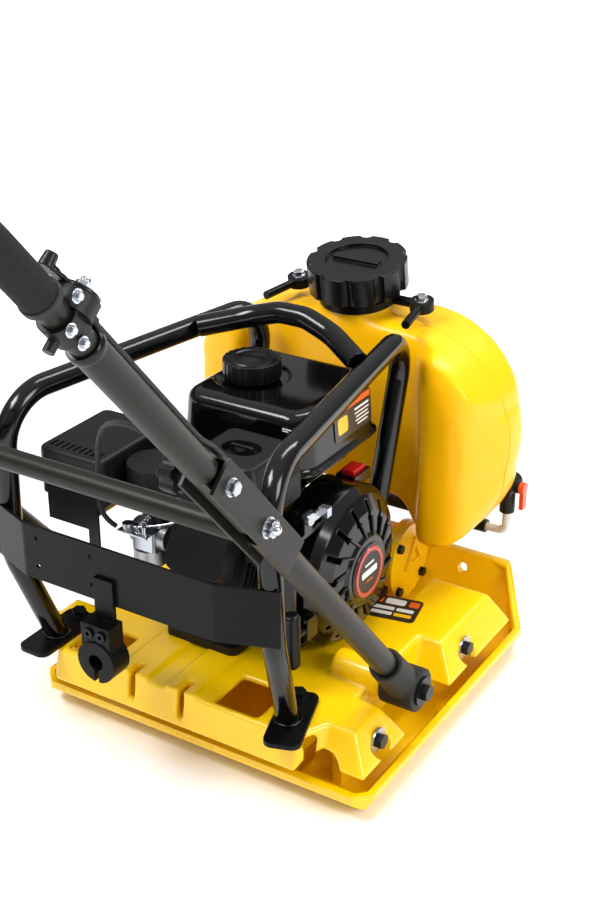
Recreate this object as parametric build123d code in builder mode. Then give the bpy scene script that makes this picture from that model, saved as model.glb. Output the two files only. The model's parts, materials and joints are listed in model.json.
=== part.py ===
from build123d import *
import os
from math import cos, radians, sin, tan

os.makedirs("parts", exist_ok=True)

# ---------------------------------------------------------------- driving dimensions, mm
# Frame: +X is the travel direction, +Y the left side, +Z up; the origin is on the ground
# under the middle of the base plate.
PLATE_LENGTH = 530
PLATE_WIDTH = 500
PLATE_WALL = 9
RIM_Z = 42                 # side and rear rim
LIP_Z = 95                 # raised front lip

DECK_TOP = 106
DECK_SKIN = 9
DECK_Y = 25                # middle of the deck and of the handle
RAIL_TOP = 110             # engine rails

CENTRE_Y = 44              # middle of the cage and of the water tank
MOUNT_X = (-191, 46)       # rubber mounts along each side
MOUNT_Z = 78
MOUNT_REACH = 249          # bolt head seat of each mount, from the deck's middle

CRANK_X = -54              # engine: 196 cc class, crankshaft across the machine
CRANK_Z = RAIL_TOP + 106
ENGINE_HOLES_X = (-156, 6)
ENGINE_HOLES_Y = (11.25, 86.75)
RECOIL_Y = -130            # outer face of the recoil cover
BELT_Y = 118
GUARD_IN = 103
GUARD_OUT = 137
CLUTCH_RADIUS = 34
PULLEY_RADIUS = 38
EXCITER_X = 183
EXCITER_Z = 97

CAGE_TUBE = 14.5           # outer radius
CAGE_TOP = 463
HANDLE_TUBE = 15           # outer radius
HANDLE_ANGLE = radians(49)  # above the ground, leaning back
PIVOT = (-118, 113)        # X and Z of the handle pivot
ARM_REACH = 247            # handle arms, from the deck's middle
HUB_IN = 223               # the pivot hubs, from the deck's middle
HUB_OUT = 270
HINGE_AT = 508             # distances along the arm from the pivot
KNOB_AT = 600
HANDLE_LENGTH = 1065

FLOOR = (Align.CENTER, Align.CENTER, Align.MIN)
CORNER = (Align.MIN, Align.MIN, Align.MIN)
SIDES = (-1, 1)            # right, left


# ---------------------------------------------------------------- small helpers
def save(builder, name):
    builder.part.label = name
    export_step(builder.part, f"parts/{name}.step")


def bar(start, end, radius, mode=Mode.ADD):
    """Round bar between two points."""
    axis = Vector(*end) - Vector(*start)
    with Locations(Plane(origin=start, z_dir=axis)):
        Cylinder(radius, axis.length, align=FLOOR, mode=mode)


def block(low, high, mode=Mode.ADD):
    """Box between its lowest and highest corners."""
    size = Vector(*high) - Vector(*low)
    with Locations(low):
        Box(size.X, size.Y, size.Z, align=CORNER, mode=mode)


def pipe(points, radii, outer, inner=0):
    """Tube along straight runs joined by tangent arcs."""
    with BuildLine() as route:
        FilletPolyline(*points, radius=radii)
    with BuildSketch(Plane(origin=route.line @ 0, z_dir=route.line % 0)) as ring:
        Circle(outer)
        if inner:
            Circle(inner, mode=Mode.SUBTRACT)
    sweep(ring.sketch, path=route.line)


def hex_bolt(seat, direction, flats, head, shank, length):
    """Hexagon bolt: the head stands on the seat, the shank runs back from it."""
    plane = Plane(origin=seat, z_dir=direction)
    with BuildSketch(plane) as hexagon:
        RegularPolygon(flats / 2, 6, major_radius=False)
    extrude(hexagon.sketch, amount=head)
    with Locations(plane):
        Cylinder(shank, length, align=(Align.CENTER, Align.CENTER, Align.MAX))


def on_arm(distance, lift=0, y=0):
    """Point beside a handle arm: distance along it from the pivot, lift above it."""
    x = PIVOT[0] - distance * cos(HANDLE_ANGLE) + lift * sin(HANDLE_ANGLE)
    z = PIVOT[1] + distance * sin(HANDLE_ANGLE) + lift * cos(HANDLE_ANGLE)
    return (x, y, z)


def arm_y(side):
    return DECK_Y + side * ARM_REACH


ARM_DIR = (-cos(HANDLE_ANGLE), 0, sin(HANDLE_ANGLE))
ARM_UP = (sin(HANDLE_ANGLE), 0, cos(HANDLE_ANGLE))


def arm_plane(distance, y, lift=0):
    """Section plane across an arm; its x axis is the arm's upper side."""
    return Plane(origin=on_arm(distance, lift, y), x_dir=ARM_UP, z_dir=ARM_DIR)


# ---------------------------------------------------------------- base plate
FRONT_X = PLATE_LENGTH / 2 - 3
REAR_X = -PLATE_LENGTH / 2
CHAMFER_X = 179            # where the front corners start
LIP_Y = 191


def plate_block(inset):
    """Outer (inset 0) or inner shape of the tray-like base plate."""
    rise = inset * 0.45
    top = LIP_Z + 40 if inset else LIP_Z
    with BuildPart() as tray:
        with BuildSketch(Plane.XZ):
            with BuildLine():
                Polyline(
                    (REAR_X + inset, RIM_Z if not inset else top),
                    (REAR_X + inset + 3, RIM_Z - 14),
                    (REAR_X + 40, inset),
                    (FRONT_X - 100 - rise, inset),
                    (FRONT_X - 46 - rise, 20 + inset * 0.7),
                    (FRONT_X - inset * 1.2, LIP_Z),
                )
                if inset:
                    Polyline((FRONT_X - inset * 1.2, LIP_Z), (FRONT_X - inset * 1.2, top),
                             (REAR_X + inset, top))
                else:
                    Polyline((FRONT_X, LIP_Z), (FRONT_X - 14, LIP_Z), (CHAMFER_X, RIM_Z),
                             (REAR_X, RIM_Z))
            make_face()
        extrude(amount=PLATE_WIDTH, both=True)
        half = PLATE_WIDTH / 2 - inset
        with BuildSketch(Plane.YZ):
            Polygon((-half + 22, inset), (half - 22, inset), (half, RIM_Z - 10), (half, top),
                    (-half, top), (-half, RIM_Z - 10), align=None)
        extrude(amount=PLATE_LENGTH, both=True, mode=Mode.INTERSECT)
        corner = inset * 0.75
        with BuildSketch(Plane.XY):
            with BuildLine():
                Polyline(
                    (REAR_X, -half + 22), (REAR_X + 22, -half), (CHAMFER_X - corner, -half),
                    (FRONT_X, -LIP_Y + corner), (FRONT_X, LIP_Y - corner),
                    (CHAMFER_X - corner, half), (REAR_X + 22, half), (REAR_X, half - 22), close=True,
                )
            make_face()
        extrude(amount=top, mode=Mode.INTERSECT)
    return tray.part


def mount_y(side, reach):
    return DECK_Y + side * reach


with BuildPart() as base_plate:
    add(plate_block(0))
    add(plate_block(PLATE_WALL), mode=Mode.SUBTRACT)
    # upright lugs that the rubber mounts are bolted to
    for side in SIDES:
        for x in MOUNT_X:
            near, far = sorted((mount_y(side, 200), mount_y(side, 213)))
            block((x - 23, near, PLATE_WALL - 2), (x + 23, far, 66))
            bar((x, near, MOUNT_Z - 4), (x, far, MOUNT_Z - 4), 20)
            bar((x, near - 1, MOUNT_Z), (x, far + 1, MOUNT_Z), 5.2, Mode.SUBTRACT)
            near, far = sorted((mount_y(side, 165), mount_y(side, 204)))
            block((x - 4, near, PLATE_WALL - 2), (x + 4, far, 44))
    # pad for the exciter and two stiffening ribs
    block((110, -58, PLATE_WALL - 2), (176, 80, 20))
    for y in (-120, 120):
        block((-240, y - 5, PLATE_WALL - 2), (150, y + 5, 26))
    # drain hole in the front lip
    bar((FRONT_X - 40, -128, 74), (FRONT_X + 10, -128, 74), 7, Mode.SUBTRACT)
save(base_plate, "base_plate")

# ---------------------------------------------------------------- deck casting
DECK_REAR = -285
DECK_FRONT = 84
SKIRT_Z = 58
WAIST = 212                # half width of the deck between its lobes
LOBE_OUT = 265             # half width at the foot of each lobe
LOBE_SHOULDER = 237
LOBES = ((-250, -140), (-22, 168))


def lobe(x_low, x_high, side):
    """One of the four bulges over the rubber mounts: a leaning block."""
    y_in = mount_y(side, 150)
    with BuildPart() as bulge:
        with BuildSketch(Plane.XY.offset(SKIRT_Z)):
            block_face(x_low, x_high, y_in, mount_y(side, LOBE_OUT))
        with BuildSketch(Plane.XY.offset(DECK_TOP)):
            block_face(x_low + 24, x_high - 24, y_in, mount_y(side, LOBE_SHOULDER))
        loft(ruled=True)
    return bulge.part


def block_face(x0, x1, y0, y1):
    with Locations(((x0 + x1) / 2, (y0 + y1) / 2)):
        Rectangle(abs(x1 - x0), abs(y1 - y0))


with BuildPart() as deck:
    with BuildSketch(Plane.XY.offset(SKIRT_Z)):
        with BuildLine():
            Polyline((DECK_REAR + 8, mount_y(-1, 186)), (DECK_REAR + 60, mount_y(-1, WAIST)),
                     (DECK_FRONT - 6, mount_y(-1, WAIST)), (DECK_FRONT - 6, mount_y(1, WAIST)),
                     (DECK_REAR + 60, mount_y(1, WAIST)), (DECK_REAR + 8, mount_y(1, 186)), close=True)
        make_face()
    extrude(amount=DECK_TOP - SKIRT_Z, taper=8)
    for x_low, x_high in LOBES:
        for side in SIDES:
            add(lobe(x_low, x_high, side))
    fillet(deck.edges().group_by(Axis.Z)[-1], 5)
    # hollow underside
    block((DECK_REAR + 24, mount_y(-1, WAIST - 16), SKIRT_Z - 1),
          (DECK_FRONT - 20, mount_y(1, WAIST - 16), DECK_TOP - DECK_SKIN), Mode.SUBTRACT)
    for x_low, x_high in LOBES:
        for side in SIDES:
            near, far = sorted((mount_y(side, 150), mount_y(side, 234)))
            block((x_low + 26, near, SKIRT_Z - 1), (x_high - 26, far, DECK_TOP - DECK_SKIN), Mode.SUBTRACT)
    # arched gaps beside the rear lobes
    for side in SIDES:
        bar((DECK_REAR - 5, mount_y(side, 206), SKIRT_Z - 6),
            (-205, mount_y(side, 206), SKIRT_Z - 6), 24, Mode.SUBTRACT)
    # engine rails, with the shallow trough between them
    for y in ENGINE_HOLES_Y:
        block((DECK_REAR + 14, y - 23, DECK_TOP - 6), (40, y + 23, RAIL_TOP))
        with Locations((-260, y, RAIL_TOP - 10)):
            Box(32, 9, 60, mode=Mode.SUBTRACT)
        for x in ENGINE_HOLES_X:
            bar((x, y, RAIL_TOP + 1), (x, y, DECK_TOP - DECK_SKIN - 1), 4.6, Mode.SUBTRACT)
    # lightening windows on both sides of the rails
    block((-262, -98, 80), (-196, -34, DECK_TOP + 2), Mode.SUBTRACT)
    block((-262, 132, 80), (-196, 196, DECK_TOP + 2), Mode.SUBTRACT)
    # notch for the belt guard
    block((26, GUARD_IN - 3, 50), (DECK_FRONT + 4, GUARD_OUT + 3, RAIL_TOP + 1), Mode.SUBTRACT)
    # bosses for the handle pivots
    for side in SIDES:
        near, far = sorted((mount_y(side, 150), mount_y(side, HUB_IN - 0.5)))
        bar((PIVOT[0], near, PIVOT[1]), (PIVOT[0], far, PIVOT[1]), 21)
        block((PIVOT[0] - 21, near, DECK_TOP - DECK_SKIN), (PIVOT[0] + 21, far, PIVOT[1]))
        bar((PIVOT[0], near - 1, PIVOT[1]), (PIVOT[0], far + 1, PIVOT[1]), 6, Mode.SUBTRACT)
    # half-moon pockets and holes for the mount bolts
    for side in SIDES:
        for x in MOUNT_X:
            bar((x, mount_y(side, MOUNT_REACH), MOUNT_Z), (x, mount_y(side, 275), MOUNT_Z), 21, Mode.SUBTRACT)
            bar((x, mount_y(side, 230), MOUNT_Z), (x, mount_y(side, 275), MOUNT_Z), 5.2, Mode.SUBTRACT)
save(deck, "deck")

# ---------------------------------------------------------------- rubber mounts and their bolts
with BuildPart() as rubber_mounts:
    for side in SIDES:
        for x in MOUNT_X:
            bar((x, mount_y(side, 213), MOUNT_Z), (x, mount_y(side, 234), MOUNT_Z), 17)
            bar((x, mount_y(side, 212), MOUNT_Z), (x, mount_y(side, 235), MOUNT_Z), 5.2, Mode.SUBTRACT)
save(rubber_mounts, "rubber_mounts")

with BuildPart() as mount_washers:
    for side in SIDES:
        for x in MOUNT_X:
            bar((x, mount_y(side, MOUNT_REACH), MOUNT_Z), (x, mount_y(side, MOUNT_REACH + 2.5), MOUNT_Z), 16)
            bar((x, mount_y(side, 240), MOUNT_Z), (x, mount_y(side, 260), MOUNT_Z), 5.2, Mode.SUBTRACT)
save(mount_washers, "mount_washers")

with BuildPart() as mount_bolts:
    for side in SIDES:
        for x in MOUNT_X:
            hex_bolt((x, mount_y(side, MOUNT_REACH + 2.5), MOUNT_Z), (0, side, 0), 17, 7.5, 5, 54)
save(mount_bolts, "mount_bolts")

# ---------------------------------------------------------------- exciter
EXCITER_ENDS = (-60, 86)
FLANGE = 58
COVER_DEPTH = 10
BEARING_DEPTH = 16


def cover_bolts():
    turns = [radians(45 + 90 * quarter) for quarter in range(4)]
    return [(EXCITER_X + 50 * cos(turn), EXCITER_Z + 50 * sin(turn)) for turn in turns]


with BuildPart() as exciter_housing:
    bar((EXCITER_X, EXCITER_ENDS[0], EXCITER_Z), (EXCITER_X, EXCITER_ENDS[1], EXCITER_Z), 48)
    for y in (EXCITER_ENDS[0], EXCITER_ENDS[1] - 12):
        bar((EXCITER_X, y, EXCITER_Z), (EXCITER_X, y + 12, EXCITER_Z), FLANGE)
    block((EXCITER_X - 46, EXCITER_ENDS[0] + 6, 20), (EXCITER_X + 6, EXCITER_ENDS[1] - 6, EXCITER_Z))
    block((EXCITER_X - 70, EXCITER_ENDS[0] + 6, 20), (EXCITER_X + 6, EXCITER_ENDS[1] - 6, 32))
    bar((EXCITER_X, EXCITER_ENDS[0] - 1, EXCITER_Z), (EXCITER_X, EXCITER_ENDS[1] + 1, EXCITER_Z), 36,
        Mode.SUBTRACT)
save(exciter_housing, "exciter_housing")

with BuildPart() as exciter_covers:
    for y, out in ((EXCITER_ENDS[0], -1), (EXCITER_ENDS[1], 1)):
        bar((EXCITER_X, y, EXCITER_Z), (EXCITER_X, y + out * COVER_DEPTH, EXCITER_Z), FLANGE)
    # the right cover is closed, with a raised triangular rib; the left lets the shaft out
    with BuildSketch(Plane.XZ.offset(-EXCITER_ENDS[0] + COVER_DEPTH)):
        with Locations((EXCITER_X + 8, EXCITER_Z + 6)):
            Triangle(a=52, B=60, C=60)
            offset(amount=-7, mode=Mode.SUBTRACT)
    extrude(amount=5)
    bar((EXCITER_X, EXCITER_ENDS[1] - 1, EXCITER_Z), (EXCITER_X, EXCITER_ENDS[1] + 11, EXCITER_Z), 13,
        Mode.SUBTRACT)
    for y in (EXCITER_ENDS[0] - COVER_DEPTH, EXCITER_ENDS[1] + COVER_DEPTH):
        for x, z in cover_bolts():
            bar((x, y - 12, z), (x, y + 12, z), 4.1, Mode.SUBTRACT)
save(exciter_covers, "exciter_covers")

with BuildPart() as m8_bolts:
    for y, out in ((EXCITER_ENDS[0] - COVER_DEPTH, -1), (EXCITER_ENDS[1] + COVER_DEPTH, 1)):
        for x, z in cover_bolts():
            hex_bolt((x, y, z), (0, out, 0), 13, 6, 4, COVER_DEPTH)
    for x in ENGINE_HOLES_X:
        for y in ENGINE_HOLES_Y:
            hex_bolt((x, y, RAIL_TOP + 11), (0, 0, 1), 13, 6, 4, 30)
save(m8_bolts, "m8_bolts")

with BuildPart() as exciter_bearings:
    for y in (EXCITER_ENDS[0] + 2, EXCITER_ENDS[1] - 2 - BEARING_DEPTH):
        bar((EXCITER_X, y, EXCITER_Z), (EXCITER_X, y + BEARING_DEPTH, EXCITER_Z), 36)
        bar((EXCITER_X, y - 1, EXCITER_Z), (EXCITER_X, y + BEARING_DEPTH + 1, EXCITER_Z), 12.05, Mode.SUBTRACT)
save(exciter_bearings, "exciter_bearings")

with BuildPart() as exciter_shaft:
    bar((EXCITER_X, EXCITER_ENDS[0] + 1, EXCITER_Z), (EXCITER_X, BELT_Y + 14, EXCITER_Z), 12)
    with BuildSketch(Plane.XZ.offset(36)):
        with Locations((EXCITER_X, EXCITER_Z)):
            Circle(32)
            with Locations((0, 20)):
                Rectangle(80, 30, mode=Mode.SUBTRACT)
            Circle(15)
    extrude(amount=-96)
save(exciter_shaft, "exciter_shaft")


def pulley(x, z, radius, bore, depth):
    """Grooved belt pulley across the machine, centred on the belt."""
    with BuildPart() as wheel:
        with BuildSketch(Plane.XY):
            with BuildLine():
                Polyline((bore, -depth / 2), (radius + 7, -depth / 2), (radius + 7, -7.5), (radius - 2, -4),
                         (radius - 2, 4), (radius + 7, 7.5), (radius + 7, depth / 2), (bore, depth / 2),
                         close=True)
            make_face()
        revolve(axis=Axis.Y)
    return wheel.part.moved(Location((x, BELT_Y, z)))


with BuildPart() as exciter_pulley:
    add(pulley(EXCITER_X, EXCITER_Z, PULLEY_RADIUS, 12, 20))
save(exciter_pulley, "exciter_pulley")

# ---------------------------------------------------------------- belt drive
with BuildPart() as clutch_drum:
    add(pulley(CRANK_X, CRANK_Z, CLUTCH_RADIUS, 10, 20))
    bar((CRANK_X, 100, CRANK_Z), (CRANK_X, BELT_Y - 10, CRANK_Z), 45)
    bar((CRANK_X, 99, CRANK_Z), (CRANK_X, BELT_Y + 12, CRANK_Z), 10, Mode.SUBTRACT)
save(clutch_drum, "clutch_drum")


def belt_loop(grow):
    """Side view of the belt's run round both pulleys, grown outwards."""
    wheels = ((CRANK_X, CRANK_Z, CLUTCH_RADIUS), (EXCITER_X, EXCITER_Z, PULLEY_RADIUS))
    rounds = [Circle(radius + grow, mode=Mode.PRIVATE).moved(Location((x, z))).edge()
              for x, z, radius in wheels]
    make_hull(ShapeList(rounds))


with BuildPart() as drive_belt:
    with BuildSketch(Plane.XZ.offset(-BELT_Y)):
        belt_loop(7)
        with BuildSketch(mode=Mode.SUBTRACT):
            belt_loop(0.6)
    extrude(amount=4, both=True)
save(drive_belt, "drive_belt")

with BuildPart() as belt_guard:
    with BuildSketch(Plane.XZ.offset(-GUARD_IN)):
        belt_loop(17)
    extrude(amount=-(GUARD_OUT - GUARD_IN))
    with BuildSketch(Plane.XZ.offset(-GUARD_IN + 1)):
        belt_loop(14)
    extrude(amount=-(GUARD_OUT - GUARD_IN - 2), mode=Mode.SUBTRACT)
    block((CRANK_X - 12, GUARD_IN, RAIL_TOP + 14), (CRANK_X + 30, GUARD_IN + 3, CRANK_Z - 47))
save(belt_guard, "belt_guard")

# ---------------------------------------------------------------- engine
ENGINE_Y = 49              # middle of the engine's mounting holes
CYLINDER_TILT = radians(25)
CYLINDER_DIR = (-cos(CYLINDER_TILT), 0, sin(CYLINDER_TILT))
CYLINDER_Y = 8


def along_cylinder(distance):
    return (CRANK_X + distance * CYLINDER_DIR[0], CYLINDER_Y, CRANK_Z + distance * CYLINDER_DIR[2])


def cylinder_plane(distance):
    return Plane(origin=along_cylinder(distance), x_dir=(0, 1, 0), z_dir=CYLINDER_DIR)


def finned(start, stop, step, core, fin):
    """Square core with cooling fins across the cylinder's axis."""
    with BuildSketch(cylinder_plane(start)) as body:
        RectangleRounded(core, core, 14)
    extrude(body.sketch, amount=stop - start)
    count = int((stop - start) / step)
    for index in range(count):
        with BuildSketch(cylinder_plane(start + step * (index + 0.3))) as plate:
            RectangleRounded(fin, fin, 16)
        extrude(plate.sketch, amount=3)


with BuildPart() as engine_block:
    with BuildSketch(Plane.XY.offset(RAIL_TOP)):
        with Locations((-77, ENGINE_Y)):
            RectangleRounded(198, 112, 12)
    extrude(amount=11)
    with BuildSketch(Plane.XY.offset(RAIL_TOP + 8)):
        with Locations((CRANK_X + 3, 24)):
            RectangleRounded(150, 142, 24)
    extrude(amount=150, taper=2)
    finned(52, 118, 11, 84, 104)
    bar((CRANK_X, 92, CRANK_Z), (CRANK_X, 97, CRANK_Z), 34)
    bar((CRANK_X, -60, CRANK_Z), (CRANK_X, 120, CRANK_Z), 11, Mode.SUBTRACT)
    for x in ENGINE_HOLES_X:
        for y in ENGINE_HOLES_Y:
            bar((x, y, RAIL_TOP - 1), (x, y, RAIL_TOP + 12), 4.6, Mode.SUBTRACT)
            bar((x, y, RAIL_TOP + 11), (x, y, RAIL_TOP + 30), 11, Mode.SUBTRACT)
save(engine_block, "engine_block")

with BuildPart() as crankshaft:
    bar((CRANK_X, -98, CRANK_Z), (CRANK_X, BELT_Y + 12, CRANK_Z), 10)
    bar((CRANK_X, BELT_Y + 12, CRANK_Z), (CRANK_X, BELT_Y + 15, CRANK_Z), 14)
save(crankshaft, "crankshaft")

with BuildPart() as flywheel:
    bar((CRANK_X, -88, CRANK_Z), (CRANK_X, -66, CRANK_Z), 82)
    bar((CRANK_X, -66, CRANK_Z), (CRANK_X, -74, CRANK_Z), 68, Mode.SUBTRACT)
    bar((CRANK_X, -90, CRANK_Z), (CRANK_X, -60, CRANK_Z), 10, Mode.SUBTRACT)
save(flywheel, "flywheel")

with BuildPart() as cylinder_head:
    finned(118.5, 168, 11, 92, 108)
    with BuildSketch(cylinder_plane(168)) as cover:
        RectangleRounded(88, 82, 16)
    extrude(cover.sketch, amount=24, taper=6)
save(cylinder_head, "cylinder_head")

with BuildPart() as spark_plug:
    x, _, z = along_cylinder(160)
    bar((x, CYLINDER_Y - 54.3, z), (x, CYLINDER_Y - 78, z), 7)
    bar((x, CYLINDER_Y - 78, z), (x - 20, CYLINDER_Y - 82, z + 12), 8.5)
save(spark_plug, "spark_plug")

BLOWER_RADIUS = 108
BLOWER_IN = -50
BLOWER_OUT = -100
LEVER_X = -148             # choke lever
LEVER_Z = 326
SWITCH_X = 6
SWITCH_Z = 320

with BuildPart() as blower_housing:
    bar((CRANK_X, BLOWER_OUT, CRANK_Z), (CRANK_X, BLOWER_IN, CRANK_Z), BLOWER_RADIUS)
    # the duct that leads the air back over the cylinder
    block((CRANK_X - 128, BLOWER_OUT, CRANK_Z - 66), (CRANK_X - 40, BLOWER_IN, CRANK_Z + 92))
    fillet(blower_housing.edges().filter_by(Axis.Y).sort_by(Axis.X)[:2], 24)
    block((CRANK_X - 122, BLOWER_OUT - 1, CRANK_Z - 60), (CRANK_X - 50, BLOWER_IN - 3, CRANK_Z + 86),
          Mode.SUBTRACT)
    bar((CRANK_X, BLOWER_OUT - 1, CRANK_Z), (CRANK_X, BLOWER_IN - 3, CRANK_Z), BLOWER_RADIUS - 3,
        Mode.SUBTRACT)
    bar((CRANK_X, BLOWER_IN - 4, CRANK_Z), (CRANK_X, BLOWER_IN + 1, CRANK_Z), 30, Mode.SUBTRACT)
    # tab for the choke lever and the well of the engine switch
    block((LEVER_X - 9, BLOWER_OUT, CRANK_Z + 88), (LEVER_X + 9, BLOWER_OUT + 4, LEVER_Z + 9))
    block((SWITCH_X - 20, -87, CRANK_Z + 88), (SWITCH_X + 20, -59, SWITCH_Z - 1))
    block((SWITCH_X - 17, -84, SWITCH_Z - 12), (SWITCH_X + 17, -62, SWITCH_Z), Mode.SUBTRACT)
    bar((SWITCH_X - 21, -73, SWITCH_Z - 4), (SWITCH_X + 21, -73, SWITCH_Z - 4), 2.05, Mode.SUBTRACT)
save(blower_housing, "blower_housing")

with BuildPart() as recoil_cover:
    with BuildSketch(Plane.XY):
        with BuildLine():
            Polyline((0, RECOIL_Y), (46, RECOIL_Y), (52, RECOIL_Y + 4), (78, RECOIL_Y + 7),
                     (98, BLOWER_OUT - 12), (BLOWER_RADIUS, BLOWER_OUT), (BLOWER_RADIUS - 3, BLOWER_OUT),
                     (94, BLOWER_OUT - 9), (76, RECOIL_Y + 10), (0, RECOIL_Y + 10), close=True)
        make_face()
    revolve(axis=Axis.Y)
    # cooling slots round the rim
    for index in range(16):
        turn = 11 + index * 360 / 16
        spot = (80 * cos(radians(turn)), RECOIL_Y + 10, 80 * sin(radians(turn)))
        with Locations(Location(spot, (0, -turn, 0))):
            Box(24, 30, 7, mode=Mode.SUBTRACT)
    # rope guide at the rear
    with Locations((-104, BLOWER_OUT - 6, -34)):
        Box(24, 12, 30)
    bar((-120, BLOWER_OUT - 6, -34), (-90, BLOWER_OUT - 6, -34), 4, Mode.SUBTRACT)
recoil_cover.part = recoil_cover.part.moved(Location((CRANK_X, 0, CRANK_Z)))
save(recoil_cover, "recoil_cover")

GRIP_X = CRANK_X - 143
GRIP_Z = CRANK_Z - 34
with BuildPart() as recoil_grip:
    bar((GRIP_X, BLOWER_OUT - 6, GRIP_Z - 38), (GRIP_X, BLOWER_OUT - 6, GRIP_Z + 38), 11)
    fillet(recoil_grip.edges(), 5)
    bar((GRIP_X + 8, BLOWER_OUT - 6, GRIP_Z), (CRANK_X - 116.4, BLOWER_OUT - 6, GRIP_Z), 5)
save(recoil_grip, "recoil_grip")

TANK_Y = 28                # middle of the fuel tank
TANK_X = -12
SEAM_Z = 352
TANK_TOP = 430
CAP_X = -19
CAP_Y = 65

with BuildPart() as fuel_tank:
    with BuildSketch(Plane.XY.offset(SEAM_Z)):
        with Locations((TANK_X, TANK_Y)):
            RectangleRounded(196, 194, 34)
    extrude(amount=TANK_TOP - SEAM_Z, taper=5)
    fillet(fuel_tank.edges().group_by(Axis.Z)[-1], 16)
    with BuildSketch(Plane.XY.offset(SEAM_Z - 38)):
        with Locations((TANK_X, TANK_Y)):
            RectangleRounded(150, 140, 26)
    extrude(amount=38)
    with BuildSketch(Plane.XY.offset(SEAM_Z - 3)):
        with Locations((TANK_X, TANK_Y)):
            RectangleRounded(208, 206, 38)
    extrude(amount=5)
    # filler neck in a dished recess
    with Locations((CAP_X, CAP_Y, TANK_TOP)):
        Cylinder(50, 10, mode=Mode.SUBTRACT)
    bar((CAP_X, CAP_Y, TANK_TOP - 8), (CAP_X, CAP_Y, TANK_TOP + 8), 27)
    bar((CAP_X, CAP_Y, TANK_TOP - 30), (CAP_X, CAP_Y, TANK_TOP + 9), 22, Mode.SUBTRACT)
save(fuel_tank, "fuel_tank")


def ribbed_cap(radius, height, teeth, depth, skirt):
    """Screw cap with a lobed rim, open underneath."""
    with BuildPart() as cap:
        with BuildSketch():
            Circle(radius)
            with PolarLocations(radius + depth * 0.35, teeth):
                Circle(depth, mode=Mode.SUBTRACT)
        extrude(amount=height)
        fillet(cap.edges().group_by(Axis.Z)[-1], min(2, depth * 0.5))
        with Locations((0, 0, 0)):
            Cylinder(skirt, height - 5, align=FLOOR, mode=Mode.SUBTRACT)
    return cap.part


with BuildPart() as fuel_cap:
    add(ribbed_cap(38, 24, 24, 2.4, 27.3).moved(Location((CAP_X, CAP_Y, TANK_TOP + 0.5))))
save(fuel_cap, "fuel_cap")

CLEANER_X = (-222, -128)
CLEANER_Y = (-68, 22)
CLEANER_TOP = 412
ELBOW_X = -206
ELBOW_Y = 84
KNOB_X = sum(CLEANER_X) / 2
KNOB_Y = sum(CLEANER_Y) / 2

with BuildPart() as air_cleaner_base:
    block((CLEANER_X[0] - 12, CLEANER_Y[0] - 12, 345), (CLEANER_X[1] + 4, CLEANER_Y[1] + 12, 360))
    fillet(air_cleaner_base.edges().filter_by(Axis.Z), 14)
    bar((KNOB_X, KNOB_Y, 345), (KNOB_X, KNOB_Y, 404), 3)
    # intake elbow towards the carburettor
    bar((ELBOW_X, ELBOW_Y, 342), (ELBOW_X, ELBOW_Y, 380), 34)
    bar((ELBOW_X, ELBOW_Y, 300), (ELBOW_X, ELBOW_Y, 343), 18)
    block((ELBOW_X - 12, 20, 347), (ELBOW_X + 12, 62, 358))
save(air_cleaner_base, "air_cleaner_base")

with BuildPart() as air_cleaner_cover:
    with BuildSketch(Plane.XY.offset(360)):
        with Locations((KNOB_X - 4, KNOB_Y)):
            RectangleRounded(110, 114, 14)
    extrude(amount=18)
    with BuildSketch(Plane.XY.offset(378)):
        with Locations((KNOB_X - 4, KNOB_Y)):
            RectangleRounded(110, 114, 14)
    with BuildSketch(Plane.XY.offset(CLEANER_TOP)):
        with Locations((KNOB_X, KNOB_Y)):
            RectangleRounded(92, 88, 12)
    loft()
    fillet(air_cleaner_cover.edges().group_by(Axis.Z)[-1], 5)
    block((KNOB_X - 50, KNOB_Y - 48, 359), (KNOB_X + 42, KNOB_Y + 48, 376), Mode.SUBTRACT)
    with BuildSketch(Plane.XY.offset(CLEANER_TOP + 1)):
        with Locations((KNOB_X, KNOB_Y)):
            Ellipse(20, 26)
    extrude(amount=-11, mode=Mode.SUBTRACT)
    bar((KNOB_X, KNOB_Y, 370), (KNOB_X, KNOB_Y, 405), 4, Mode.SUBTRACT)
save(air_cleaner_cover, "air_cleaner_cover")

with BuildPart() as air_cleaner_knob:
    seat = CLEANER_TOP - 9.6
    bar((KNOB_X, KNOB_Y, seat), (KNOB_X, KNOB_Y, seat + 9), 8)
    block((KNOB_X - 2, KNOB_Y - 16, seat + 2), (KNOB_X + 2, KNOB_Y + 16, seat + 13))
    fillet(air_cleaner_knob.edges().filter_by(Axis.X), 3)
    bar((KNOB_X, KNOB_Y, seat - 1), (KNOB_X, KNOB_Y, seat + 4), 3.05, Mode.SUBTRACT)
save(air_cleaner_knob, "air_cleaner_knob")

CARB_X = -210
CARB_Y = 94
CARB_Z = 276
with BuildPart() as carburettor:
    block((CARB_X - 16, CARB_Y - 20, CARB_Z - 14), (CARB_X + 18, CARB_Y + 14, CARB_Z + 24))
    bar((CARB_X, CARB_Y, CARB_Z - 36), (CARB_X, CARB_Y, CARB_Z - 14), 21)
    bar((CARB_X + 2, CYLINDER_Y + 54.3, CARB_Z + 4), (CARB_X + 2, CARB_Y + 20, CARB_Z + 4), 17)
    bar((ELBOW_X, ELBOW_Y, CARB_Z + 10), (ELBOW_X, ELBOW_Y, 300), 16)
save(carburettor, "carburettor")

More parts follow.
